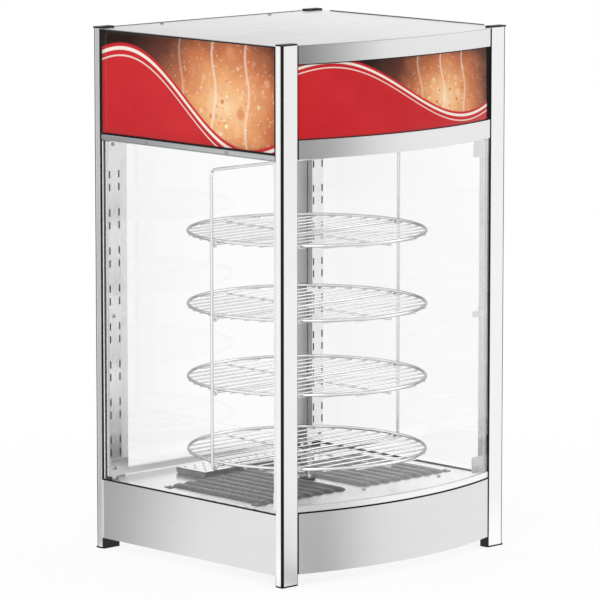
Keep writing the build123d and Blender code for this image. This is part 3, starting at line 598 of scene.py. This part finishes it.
def colour_ramp(tree, value, stops):
    """A colour for each value; the stops are pairs of value and colour in rising order."""
    node = tree.nodes.new("ShaderNodeValToRGB")
    feed(tree, node.inputs[0], value)
    ramp = node.color_ramp.elements
    ramp[0].position, ramp[0].color = stops[0]
    ramp[1].position, ramp[1].color = stops[-1]
    for position, colour in stops[1:-1]:
        ramp.new(position).color = colour
    return node.outputs[0]


def add_glow(tree, place, distance):
    """Colours from pale orange to near black with the distance, rippled by a noise."""
    ripple = calc(tree, "MULTIPLY", noise(tree, place, ripple_scale, 3.0, 0.6), glow_ripple)
    spread = calc(tree, "MULTIPLY", distance, glow_spread)
    return colour_ramp(tree, calc(tree, "ADD", spread, ripple), glow_stops)


def add_embers(tree, colour, place, distance):
    """Dots in the cells of three grids: chance lights some, and they fade away from the glow."""
    for size, reach, strength in ember_sizes:
        cells = tree.nodes.new("ShaderNodeTexVoronoi")
        feed(tree, cells.inputs["Vector"], place)
        cells.inputs["Scale"].default_value = size
        chance = split(tree, cells.outputs["Color"])
        dot = rescale(tree, cells.outputs["Distance"], ember_edge, ember_core, 0.0, 1.0, smooth=True)
        lit = rescale(tree, chance["X"], never_lit, always_lit, 0.0, strength, smooth=True)
        fade = rescale(tree, distance, fade_start, reach, 1.0, 0.0, smooth=True)
        ember = blend_colour(tree, chance["Y"], ember_red, ember_yellow)
        mask = calc(tree, "MULTIPLY", calc(tree, "MULTIPLY", dot, lit), fade)
        colour = blend_colour(tree, mask, colour, ember)
    return colour


print("ember sizes", len(ember_sizes))

# %% [markdown]
# A line is drawn by how far a value is from the line's middle: full on the line, nothing a little way
# off, and a smooth step between them so that its edge isn't jagged. The steam and the wave's two pale
# lines are drawn in this way, and the red of the wave and the dark rim each end in one such step.

# %% Steam, wave and rim of the print
steam_colour, threads_per_height = (1.0, 0.93, 0.80, 1), 2.2
thread_half, thread_strength = 0.06, 0.45
steam_full, steam_gone = 0.3, 0.9
sway_speed, sway_width = 9.0, 0.06
wave_speed, wave_start, wave_height = 5.2, 0.6, 0.30
wave_slope, wave_level, wave_softness = -0.42, 0.66, 0.012
dark_red, light_red, red_scale = (0.50, 0.010, 0.018, 1), (0.68, 0.030, 0.034, 1), 1.4
pale_line = (0.90, 0.84, 0.74, 1)
wave_lines = [(0.05, 0.022, 0.012, 1.0), (0.12, 0.012, 0.004, 0.8)]
# The rim's dark colour is a printed border, and at the upper edge also a painted shadow.
rim_from, rim_to, border_and_shadow_colour = 0.484, 0.490, (0.012, 0.010, 0.010, 1)


def stripe(tree, value, middle, outer, inner, strength):
    """A line where the value is at its middle: full within inner, nothing beyond outer."""
    off = calc(tree, "ABSOLUTE", calc(tree, "SUBTRACT", value, middle))
    return rescale(tree, off, outer, inner, 0.0, strength, smooth=True)


def add_steam(tree, colour, run, up, from_glow):
    """Upright lines at even steps, pushed sideways by a sine of the height, near the glow only."""
    sway = calc(tree, "SINE", calc(tree, "MULTIPLY", up, sway_speed))
    steps = calc(tree, "MULTIPLY", run, threads_per_height)
    within_step = calc(tree, "FRACT", calc(tree, "MULTIPLY_ADD", sway, sway_width, steps))
    thread = stripe(tree, within_step, 0.5, thread_half, 0.0, thread_strength)
    off_glow = calc(tree, "ABSOLUTE", from_glow)
    near = rescale(tree, off_glow, steam_full, steam_gone, 1.0, 0.0, smooth=True)
    return blend_colour(tree, calc(tree, "MULTIPLY", thread, near), colour, steam_colour)


def add_wave(tree, colour, place, across, up, rise):
    """Red under height * sin(speed * across + start) + slope * across + level, with two pale lines."""
    wave = calc(tree, "SINE", calc(tree, "MULTIPLY_ADD", across, wave_speed, wave_start))
    level = calc(tree, "ADD", calc(tree, "MULTIPLY_ADD", across, wave_slope, wave_level), rise)
    under = calc(tree, "SUBTRACT", calc(tree, "MULTIPLY_ADD", wave, wave_height, level), up)
    red = blend_colour(tree, noise(tree, place, red_scale), dark_red, light_red)
    covered = rescale(tree, under, -wave_softness, wave_softness, 0.0, 1.0, smooth=True)
    colour = blend_colour(tree, covered, colour, red)
    for line in wave_lines:
        colour = blend_colour(tree, stripe(tree, under, *line), colour, pale_line)
    return colour


def add_border_and_shadow(tree, colour, run, up, length):
    """Dark near the edge: where the larger of two distances from the middle is nearly a half.
    It is a printed border, and along the upper edge also a painted shadow.
    """
    rim_up = calc(tree, "ABSOLUTE", calc(tree, "SUBTRACT", up, 0.5))
    half_length = calc(tree, "MULTIPLY", length, 0.5)
    rim_side = calc(tree, "ABSOLUTE", calc(tree, "SUBTRACT", run, half_length))
    rim_side = calc(tree, "ADD", calc(tree, "SUBTRACT", rim_side, half_length), 0.5)
    rim = rescale(tree, calc(tree, "MAXIMUM", rim_up, rim_side), rim_from, rim_to, 0.0, 1.0, smooth=True)
    return blend_colour(tree, rim, colour, border_and_shadow_colour)


print("lines along the wave", len(wave_lines))

# %% [markdown]
# The parts are laid over each other like inks: glow, embers, steam, wave, rim. The dark rim round the
# edge is a printed border, and along the upper edge it is also a painted shadow. They sit in one node
# group, because the three signs differ only in their length and in how high the wave stands.

# %% Printed and lacquered sign
glow_across, glow_up, glow_flatness = 0.72, 0.38, 0.8
ink_depth, ink_scale = 0.1 * MM, 60.0


def build_print():
    """The colour and the ink's relief, from face coordinates and the sign's length in heights."""
    tree, given, out = new_group(
        "Warm print",
        [("Face", VECTOR, (0, 0, 0)), ("Length", FLOAT, 3.5), ("Rise", FLOAT, 0.0)],
        [("Colour", COLOUR), ("Ink", FLOAT)],
    )
    length = given.outputs["Length"]
    face = split(tree, given.outputs["Face"])
    across, up = face["X"], face["Y"]
    run = calc(tree, "MULTIPLY", across, length)
    even = tree.nodes.new("ShaderNodeCombineXYZ")
    feed(tree, even.inputs["X"], run)
    feed(tree, even.inputs["Y"], up)
    place = even.outputs[0]
    from_x = calc(tree, "SUBTRACT", run, calc(tree, "MULTIPLY", length, glow_across))
    from_y = calc(tree, "SUBTRACT", up, glow_up)
    square_x = calc(tree, "POWER", calc(tree, "MULTIPLY", from_x, glow_flatness), 2.0)
    square_y = calc(tree, "POWER", from_y, 2.0)
    distance = calc(tree, "SQRT", calc(tree, "ADD", square_x, square_y))
    colour = add_glow(tree, place, distance)
    colour = add_embers(tree, colour, place, distance)
    colour = add_steam(tree, colour, run, up, from_x)
    colour = add_wave(tree, colour, place, across, up, given.outputs["Rise"])
    colour = add_border_and_shadow(tree, colour, run, up, length)
    feed(tree, out.inputs["Colour"], colour)
    feed(tree, out.inputs["Ink"], noise(tree, place, ink_scale))
    return tree


PRINT = build_print()


def printed_sign(name, length, rise=0.0):
    """The print under a smooth lacquer, on the piece's own face coordinates."""
    material, tree, shader = start_material(name)
    face = tree.nodes.new("ShaderNodeUVMap")
    face.uv_map = "face"
    picture = place_group(tree, PRINT, Face=face.outputs[0], Length=length, Rise=rise)
    hands = place_group(tree, HANDLING, Size=8.0, Amount=0.05)
    feed(tree, shader.inputs["Base Color"], picture.outputs["Colour"])
    feed(tree, shader.inputs["Roughness"], calc(tree, "ADD", hands.outputs["Marks"], 0.14))
    shader.inputs["Specular IOR Level"].default_value = 0.12
    bump(tree, shader, picture.outputs["Ink"], ink_depth, 0.03)
    return material


print("nodes in the print", len(PRINT.nodes))

# %% [markdown]
# The front sign leans: its foot follows the deep bow of the lower band and its top the flatter bow of
# the upper one. A point on it is a straight blend between the two arcs, so one formula gives it all.
# The side signs are flat. Only the outer face is worked out, and Solidify adds the sheet behind it.

# %% Signs
sign_thickness, sign_inset, front_rise = 2 * MM, 1.6 * MM, 0.16


def bow_y(x, bow):
    """Front line at a distance x from the middle: the circle through both posts that bows by bow."""
    radius = (half_gap ** 2 + bow ** 2) / (2 * bow)
    return front_line - bow + radius - np.sqrt(radius ** 2 - x ** 2)


def sheet_piece(name, corner_grid, uv_grid, thickness, node, material):
    """A sign: the outer face from a grid, and its thickness added behind it."""
    rows, columns = corner_grid.shape[:2]
    piece = make_piece(
        name, corner_grid.reshape(-1, 3), grid_faces(rows, columns), "cabinet",
        material, uv=uv_grid.reshape(-1, 2),
    )
    shell = piece.modifiers.new("thickness", "SOLIDIFY")
    shell.thickness = thickness
    shell.offset = -1.0
    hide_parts(node)
    return piece


def make_front_sign():
    """Points at (x, (1 - v) * lower arc + v * upper arc, z), for x across and v up the sign."""
    low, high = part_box("sign_front")
    u, v = np.meshgrid(np.linspace(0, 1, 97), np.linspace(0, 1, 13))
    x = low.x + (high.x - low.x) * u
    z = low.z + (high.z - low.z) * v
    y = (1 - v) * bow_y(x, lower_bow) + v * bow_y(x, upper_bow) + sign_inset
    points = np.stack([x, y, z], axis=-1)
    length = (high.x - low.x) / (high.z - low.z)
    return sheet_piece(
        "front_sign_face", points[:, ::-1], np.stack([u, v], -1)[:, ::-1], sign_thickness,
        "sign_front", printed_sign("printed front sign", length, front_rise),
    )


def make_side_sign(node, outer_is_low):
    """A flat grid on the sign's outer face, that runs from left to right as one looks at it."""
    low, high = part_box(node)
    u, v = np.meshgrid(np.linspace(0, 1, 25), np.linspace(0, 1, 9))
    face_x = low.x if outer_is_low else high.x
    y = high.y + (low.y - high.y) * u if outer_is_low else low.y + (high.y - low.y) * u
    points = np.stack([np.full_like(u, face_x), y, low.z + (high.z - low.z) * v], axis=-1)
    length = (high.y - low.y) / (high.z - low.z)
    return sheet_piece(
        node + "_face", points[:, ::-1], np.stack([u, v], -1)[:, ::-1], high.x - low.x, node,
        printed_sign("printed " + node.replace("_", " "), length),
    )


signs = [make_front_sign(), make_side_sign("sign_left", True), make_side_sign("sign_right", False)]
print("signs", [sign.name for sign in signs])

# %% [markdown]
# A rack is a welded wire grid. The rim is a thick wire bent to a circle; thin wires lie under it side
# by side, with one stout bar in the middle that hangs in the carrier and one wire across. Each joint
# is a spot weld, which leaves a small flattened bead, and the beads catch the light like dots. The
# solid model has the same wires with flat ends; here they get round ends and their beads.

# %% Welded wire racks
rack_names = ["rack_1", "rack_2", "rack_3", "rack_4"]
rim_wire, thin_wire, bar_wire, cross_wire = 3.0 * MM, 1.5 * MM, 2.5 * MM, 1.75 * MM
weld, end_inset, cross_past_rim = 0.3 * MM, 0.8 * MM, 1 * MM
wire_pitch, wire_rows = 30.5 * MM, 7
rim_bead = (2.4 * MM, 2.1 * MM, 1.0 * MM)
cross_bead = (2.2 * MM, 2.0 * MM, 0.8 * MM)
UPWARDS, REARWARDS = (0, 0, 1), (0, 1, 0)


def beads(centres, size, sides=8, rings=5):
    """Flattened spheres at centre + size * (cos a * cos b, sin a * cos b, sin b), all at once."""
    centres = np.asarray(centres, float)
    pole = np.pi / 2 * 0.96
    a = np.linspace(0, 2 * np.pi, sides, endpoint=False)
    b = np.linspace(-pole, pole, rings)
    bb, aa = np.meshgrid(b, a, indexing="ij")
    ball = np.stack([np.cos(aa) * np.cos(bb), np.sin(aa) * np.cos(bb), np.sin(bb)], -1).reshape(-1, 3)
    points = centres[:, None, :] + ball[None] * np.asarray(size)
    one = grid_faces(rings, sides, wrap_columns=True)[:, ::-1]
    shift = np.arange(len(centres))[:, None, None] * len(ball)
    return points.reshape(-1, 3), (one[None] + shift).reshape(-1, 4)


def rack_surface(low, high):
    """All wires of one rack, from the node's box: a circle, and chords of it at even steps."""
    rim_z = high.z - rim_wire
    rim_r = (high.y - low.y) / 2 - rim_wire
    mid = np.array([0.0, (low.y + high.y) / 2, 0.0])
    turn = np.linspace(0, 2 * np.pi, 160, endpoint=False)
    circle = mid + np.stack([rim_r * np.cos(turn), rim_r * np.sin(turn), np.full_like(turn, rim_z)], -1)
    parts = [tube(circle, rim_wire, UPWARDS, 14, closed=True)]
    wire_z = rim_z - rim_wire - thin_wire + weld
    reach = rim_r + rim_wire - end_inset
    offsets = [i * wire_pitch for i in range(-wire_rows, wire_rows + 1) if i != 0]
    for offset in offsets:
        half = math.sqrt(reach ** 2 - offset ** 2)
        ends = mid + [[-half, offset, wire_z], [half, offset, wire_z]]
        parts.append(domed_rod(ends[0], ends[1], thin_wire, UPWARDS))
    bar_z = rim_z - rim_wire - bar_wire + weld
    half = (high.x - low.x) / 2
    parts.append(domed_rod(mid + [-half, 0, bar_z], mid + [half, 0, bar_z], bar_wire, UPWARDS, 14))
    cross_z = wire_z - thin_wire - cross_wire + weld
    end = rim_r + cross_past_rim
    parts.append(domed_rod(mid + [0, -end, cross_z], mid + [0, end, cross_z], cross_wire, UPWARDS, 12))
    for y in (-rim_r, rim_r):
        foot, top = mid + [0, y, cross_z], mid + [0, y, rim_z - weld]
        parts.append(domed_rod(foot, top, thin_wire, REARWARDS))
    at_rim = [
        mid + [side * math.sqrt(rim_r ** 2 - y ** 2), y, rim_z - rim_wire]
        for y in offsets for side in (-1, 1)
    ]
    parts.append(beads(at_rim, rim_bead))
    at_cross = [mid + [0, y, wire_z - thin_wire + weld / 2] for y in offsets]
    parts.append(beads(at_cross, cross_bead))
    return join(parts)


for name in rack_names:
    points, faces = rack_surface(*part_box(name))
    piece = make_piece(name + "_wires", points, faces, "carousel", wire_finish)
    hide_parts(name)
print("rack faces", len(faces), "each")

# %% [markdown]
# The top cover ends at the rear and at the right in a narrow folded hem, which shows as a dark line
# against the white behind; its steel is given a dark grey, a painted shade. A fold a millimetre thick
# is too fine for a texture on a long sheet, so it is a strip of its own that stands on the sheet.

# %% Hem of the top cover
hem_inset, hem_thick, hem_sunk = 2.0 * MM, 1.0 * MM, 0.3 * MM
rear_rise, right_rise = 0.9 * MM, 1.4 * MM
post_clear, bow_clear = 42 * MM, 80 * MM


def hem_strip(name, start, end, top, rise, material):
    """An upright strip between two points: their line, moved sideways by half a thickness each way."""
    start, end = np.asarray(start, float), np.asarray(end, float)
    along = (end - start) / np.linalg.norm(end - start)
    side = np.array([-along[1], along[0]]) * hem_thick / 2
    ring = [start - side, end - side, end + side, start + side]
    points = np.array([[*corner, z] for z in (top - hem_sunk, top + rise) for corner in ring])
    sides = [(i, (i + 1) % 4, (i + 1) % 4 + 4, i + 4) for i in range(4)]
    faces = np.array([(0, 3, 2, 1), (4, 5, 6, 7)] + sides)
    return make_piece(name, points, faces, "cabinet", material)


# The hem's dark grey is a painted shade.
hem_shade_finish = metal("folded steel edge", (0.12, 0.12, 0.12), 0.35, ALONG_X)
top_low, top_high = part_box("top_cover")
rear_y, right_x = top_high.y - hem_inset, top_high.x - hem_inset
rear_left = (top_low.x + post_clear, rear_y)
rear_right = (top_high.x - post_clear, rear_y)
right_front = (right_x, top_low.y + bow_clear)
right_rear = (right_x, top_high.y - post_clear)
hems = [
    hem_strip("rear_hem", rear_left, rear_right, top_high.z, rear_rise, hem_shade_finish),
    hem_strip("right_hem", right_front, right_rear, top_high.z, right_rise, hem_shade_finish),
]
print("hems", [hem.name for hem in hems])

# %% [markdown]
# Everything else keeps the shape of the solid model, which is right as it is: straight extrusions,
# folded sheets and turned parts. Each gets its finish by taking the place of the plain material.

# %% Finishes of the remaining parts
finish_of = {
    post_finish: ["post_front_left", "post_front_right", "post_rear_left", "post_rear_right"],
    black_plastic: ["post_caps", "post_feet", "spindle_bush", "door_catch", "switch_housings",
                    "thermostat", "thermostat_knob", "power_inlet"],
    black_rubber: ["corner_strips", "glass_seals", "sign_stop"],
    panel_finish: ["base_rear", "bottom_plate", "header_rear"],
    front_panel_finish: ["base_front"],
    side_panel_finish: ["base_left", "base_right"],
    band_finish: ["header_band_lower"],
    upper_band_finish: ["header_band_upper"],
    top_finish: ["top_cover"],
    rail_finish: ["header_rail_left", "header_rail_right"],
    bowed_rail_finish: ["front_glass_rail"],
    door_finish: ["door_frame"],
    deck_finish: ["deck"],
    pan_lid_shade_finish: ["water_pan", "water_pan_lid"],
    pilaster_finish: ["pilasters_front", "pilasters_rear", "pilaster_brackets"],
    wire_finish: ["carrier_frame", "door_handle"],
    turned_finish: ["drive_spindle", "carrier_hub"],
    screw_finish: ["screws", "door_pivots"],
    sheath_finish: ["heaters"],
    cover_paint: ["heater_cover_left"],
    reflection_lit_cover_paint: ["heater_cover_right"],
    motor_paint: ["gear_motor"],
    white_enamel: ["ceiling_panel", "lamp_holder"],
    green_key: ["switch_light"],
    red_key: ["switch_heat"],
    glass_finish: ["glass_front", "glass_left", "glass_right", "door_glass"],
    lamp_finish: ["lamp_tube"],
}
for material, members in finish_of.items():
    for name in members:
        slots = nodes[name].data.materials
        slots.clear()
        slots.append(material)
covered = {name for members in finish_of.values() for name in members}
print("replaced by surfaces:", sorted(set(nodes) - covered))

# %% [markdown]
# The studio is plain: a pale floor, an even sky and two soft lamps. Metal is only as good as what it
# mirrors, so reflected rays see a white surround with two darker parts, like walls that are left
# unlit: a broad soft one in front, which the bowed front mirrors, and one at the left rear, which the
# left side mirrors. The eye itself sees clean white behind the object. Each is a node group, because
# the sky and the floor share the first, and the floor and a card share the second.

# %% The two darker parts of the surround
surround_light = 0.98
overhead_from, overhead_light = 0.3, 0.72
shade_line, shade_from, shaded_light = (0.724, 0.69), -0.25, 0.46
beside_from, beside_to = -0.24, -0.34


def build_surround():
    """Brightness by compass direction: white less depth * exp(-(angle / width)^2), darker overhead."""
    tree, given, out = new_group(
        "Studio surround",
        [("Direction", VECTOR, (0, 0, 1)), ("Dark side", FLOAT, -95.0), ("Width", FLOAT, 26.0),
         ("Depth", FLOAT, 0.62)],
        [("Light", FLOAT)],
    )
    unit = split(tree, vector_calc(tree, "NORMALIZE", given.outputs["Direction"]))
    angle = calc(tree, "DEGREES", calc(tree, "ARCTAN2", unit["Y"], unit["X"]))
    from_dark = calc(tree, "SUBTRACT", angle, given.outputs["Dark side"])
    off = calc(tree, "DIVIDE", from_dark, given.outputs["Width"])
    lobe = calc(tree, "EXPONENT", calc(tree, "MULTIPLY", calc(tree, "MULTIPLY", off, off), -1.0))
    light = calc(tree, "SUBTRACT", surround_light, calc(tree, "MULTIPLY", lobe, given.outputs["Depth"]))
    overhead = rescale(tree, unit["Z"], overhead_from, 1.0, 1.0, overhead_light, smooth=True)
    feed(tree, out.inputs["Light"], calc(tree, "MULTIPLY", light, overhead))
    return tree


def build_left_rear_shade():
    """Shade by place at the left rear: it grows behind a slanting line, and only left of the case."""
    tree, given, out = new_group(
        "Left rear shade", [("Place", VECTOR, (0, 0, 0))], [("Light", FLOAT)]
    )
    place = split(tree, given.outputs["Place"])
    from_y = calc(tree, "MULTIPLY", place["Y"], shade_line[1])
    across = calc(tree, "MULTIPLY_ADD", place["X"], shade_line[0], from_y)
    light = rescale(tree, across, shade_from, 0.0, 1.0, shaded_light, smooth=True)
    beside = rescale(tree, place["X"], beside_from, beside_to, 0.0, 1.0)
    less = calc(tree, "MULTIPLY", calc(tree, "SUBTRACT", 1.0, light), beside)
    feed(tree, out.inputs["Light"], calc(tree, "SUBTRACT", 1.0, less))
    return tree


SURROUND = build_surround()
LEFT_REAR_SHADE = build_left_rear_shade()
print("studio effects", SURROUND.name, "and", LEFT_REAR_SHADE.name)

# %% [markdown]
# The sky has two answers. Rays from the eye, straight or through glass, get plain white. All others
# get the surround. Light Path tells them apart, and no lamp has to be stronger for the white.

# %% Sky
sky_light = 0.98


def make_world():
    """A white backdrop for the eye, and the surround for light and reflections."""
    world = bpy.data.worlds.new("studio")
    bpy.context.scene.world = world
    world.use_nodes = True
    tree = world.node_tree
    direction = tree.nodes.new("ShaderNodeTexCoord").outputs["Generated"]
    surround = place_group(tree, SURROUND, Direction=direction)
    light = calc(tree, "MULTIPLY", surround.outputs["Light"], sky_light)
    rays = tree.nodes.new("ShaderNodeLightPath")
    seen = calc(tree, "MAXIMUM", rays.outputs["Is Camera Ray"], rays.outputs["Is Transmission Ray"])
    shader = tree.nodes["Background"]
    feed(tree, shader.inputs["Color"], blend_colour(tree, seen, light, grey(1.0)))
    shader.inputs["Strength"].default_value = 1.0


make_world()
print("world", bpy.context.scene.world.name)

# %% [markdown]
# The floor glows nearly white by itself. Only near the case does it also have a grey of its own, on
# which the soft shadow falls. In reflections it stands for the whole lower half of the room: each
# place on it shows the surround in its own direction, so that the bowed panel and the bands mirror
# the darker part in front as they would in a real studio. Near the case that part is narrower and
# weaker than far out, which keeps the low panels light. Furthest out, where only the upper band
# looks, it turns a little towards the right.

# %% Floor
floor_radii = [0.001, 1.5, 3.0, 6.0, 9.0]
shadow_near, shadow_far, shadow_grey = 0.45, 1.6, 0.20
floor_light_near = 0.82
mirror_centre = (0.25, 0.0, 0.0)
near_lobe = (-82.0, 18.0, 0.44)
far_lobe = (-93.0, 22.0, 0.72)
lobe_near, lobe_far = 1.5, 4.5
outer_side, outer_near, outer_far = -79.5, 5.6, 6.2


def floor_material():
    """Pale and matt to the eye; for glossy rays, the surround as seen from the foot of the left panel."""
    material, tree, shader = start_material("pale floor")
    where = tree.nodes.new("ShaderNodeNewGeometry").outputs["Position"]
    away = vector_calc(tree, "LENGTH", where)
    far = rescale(tree, away, shadow_near, shadow_far, 0.0, 1.0, smooth=True)
    feed(tree, shader.inputs["Base Color"], blend_colour(tree, far, grey(shadow_grey), grey(0)))
    shader.inputs["Emission Color"].default_value = grey(1)
    feed(tree, shader.inputs["Emission Strength"], rescale(tree, far, 0.0, 1.0, floor_light_near, 1.0))
    shader.inputs["Roughness"].default_value = 0.9
    shader.inputs["Specular IOR Level"].default_value = 0.0
    further = rescale(tree, away, lobe_near, lobe_far, 0.0, 1.0, smooth=True)
    side, width, depth = [rescale(tree, further, 0.0, 1.0, *pair) for pair in zip(near_lobe, far_lobe)]
    outer = rescale(tree, away, outer_near, outer_far, 0.0, outer_side - far_lobe[0], smooth=True)
    surround = place_group(
        tree, SURROUND, Direction=vector_calc(tree, "ADD", where, mirror_centre),
        Dark_side=calc(tree, "ADD", side, outer), Width=width, Depth=depth,
    )
    shaded = place_group(tree, LEFT_REAR_SHADE, Place=where)
    light = calc(tree, "MULTIPLY", surround.outputs["Light"], shaded.outputs["Light"])
    mirror = tree.nodes.new("ShaderNodeEmission")
    feed(tree, mirror.inputs["Color"], light)
    rays = tree.nodes.new("ShaderNodeLightPath")
    choose = tree.nodes.new("ShaderNodeMixShader")
    feed(tree, choose.inputs[0], rays.outputs["Is Glossy Ray"])
    tree.links.new(shader.outputs[0], choose.inputs[1])
    tree.links.new(mirror.outputs[0], choose.inputs[2])
    tree.links.new(choose.outputs[0], tree.nodes["Material Output"].inputs["Surface"])
    return material


def studio_surface(name, points, faces, material):
    """A mesh that belongs to the studio, not to the object."""
    mesh = bpy.data.meshes.new(name)
    mesh.from_pydata(points, [], faces)
    mesh.materials.append(material)
    surface = bpy.data.objects.new(name, mesh)
    bpy.context.scene.collection.objects.link(surface)
    return surface


def make_floor():
    """Rings of points at radius * (cos a, sin a), with faces between them."""
    turn = np.linspace(0, 2 * np.pi, 64, endpoint=False)
    x, y = np.outer(floor_radii, np.cos(turn)), np.outer(floor_radii, np.sin(turn))
    points = np.stack([x, y, np.zeros_like(x)], -1).reshape(-1, 3)
    faces = grid_faces(len(floor_radii), len(turn), wrap_columns=True)
    floor = studio_surface("floor", points.tolist(), faces.tolist(), floor_material())
    return floor


floor = make_floor()
print("floor corners", len(floor.data.vertices))

# %% [markdown]
# Two large soft lamps light the case, a strong one at the front left and a weak one at the front
# right, which stays out of the reflections. The left side also mirrors what is at the left rear above
# the floor, so a card with the floor's shade stands there, where only reflections see it.

# %% Lamps and card
lamp_aim = (0, 0, 0.5)
card_x, card_front, card_rear, card_foot, card_top = -1.0, 0.1, 2.6, -0.01, 2.4
card_light = 0.97


def make_lamp(name, place, size, power, mirrored):
    """A square soft lamp that looks at the middle of the case."""
    lamp = bpy.data.lights.new(name, "AREA")
    lamp.size = size
    lamp.energy = power
    lamp_object = bpy.data.objects.new(name, lamp)
    bpy.context.scene.collection.objects.link(lamp_object)
    line = Vector(lamp_aim) - Vector(place)
    lamp_object.location = place
    lamp_object.rotation_euler = line.to_track_quat("-Z", "Y").to_euler()
    lamp_object.visible_glossy = mirrored


def make_card(name):
    """An upright card that only reflections see, with the same shade as the floor beneath it."""
    material, tree, _ = start_material(name + " grey")
    where = tree.nodes.new("ShaderNodeNewGeometry").outputs["Position"]
    shaded = place_group(tree, LEFT_REAR_SHADE, Place=where)
    glow = tree.nodes.new("ShaderNodeEmission")
    feed(tree, glow.inputs["Color"], calc(tree, "MULTIPLY", shaded.outputs["Light"], card_light))
    tree.links.new(glow.outputs[0], tree.nodes["Material Output"].inputs["Surface"])
    corners = [
        (card_x, card_front, card_foot), (card_x, card_rear, card_foot),
        (card_x, card_rear, card_top), (card_x, card_front, card_top),
    ]
    card = studio_surface(name, corners, [(0, 1, 2, 3)], material)
    for kind in ("camera", "diffuse", "transmission", "volume_scatter", "shadow"):
        setattr(card, "visible_" + kind, False)


make_lamp("key", (-2.6, -2.4, 3.2), size=2.4, power=34.0, mirrored=True)
make_lamp("fill", (2.8, -1.8, 2.2), size=2.2, power=14.0, mirrored=False)
make_card("left rear card")
print("lamps", len(bpy.data.lights))

# %% [markdown]
# The camera stands about nine metres away with a long lens, well above the object's top, at its front
# left corner. From so far the posts stay almost parallel, as they do in a catalogue picture.

# %% Camera
camera_place = (-5.963, -6.255, 1.793)
look_down, turn_right = 8.643, 43.589
camera_data = bpy.data.cameras.new("camera")
camera_data.sensor_width = 36.0
camera_data.lens = 275.25
camera_data.clip_end = 60.0
camera = bpy.data.objects.new("camera", camera_data)
camera.location = camera_place
camera.rotation_euler = (math.radians(90 - look_down), 0, math.radians(-turn_right))
bpy.context.scene.collection.objects.link(camera)
bpy.context.scene.camera = camera
bpy.context.scene.view_settings.view_transform = "Standard"
print("camera height", camera.location.z)
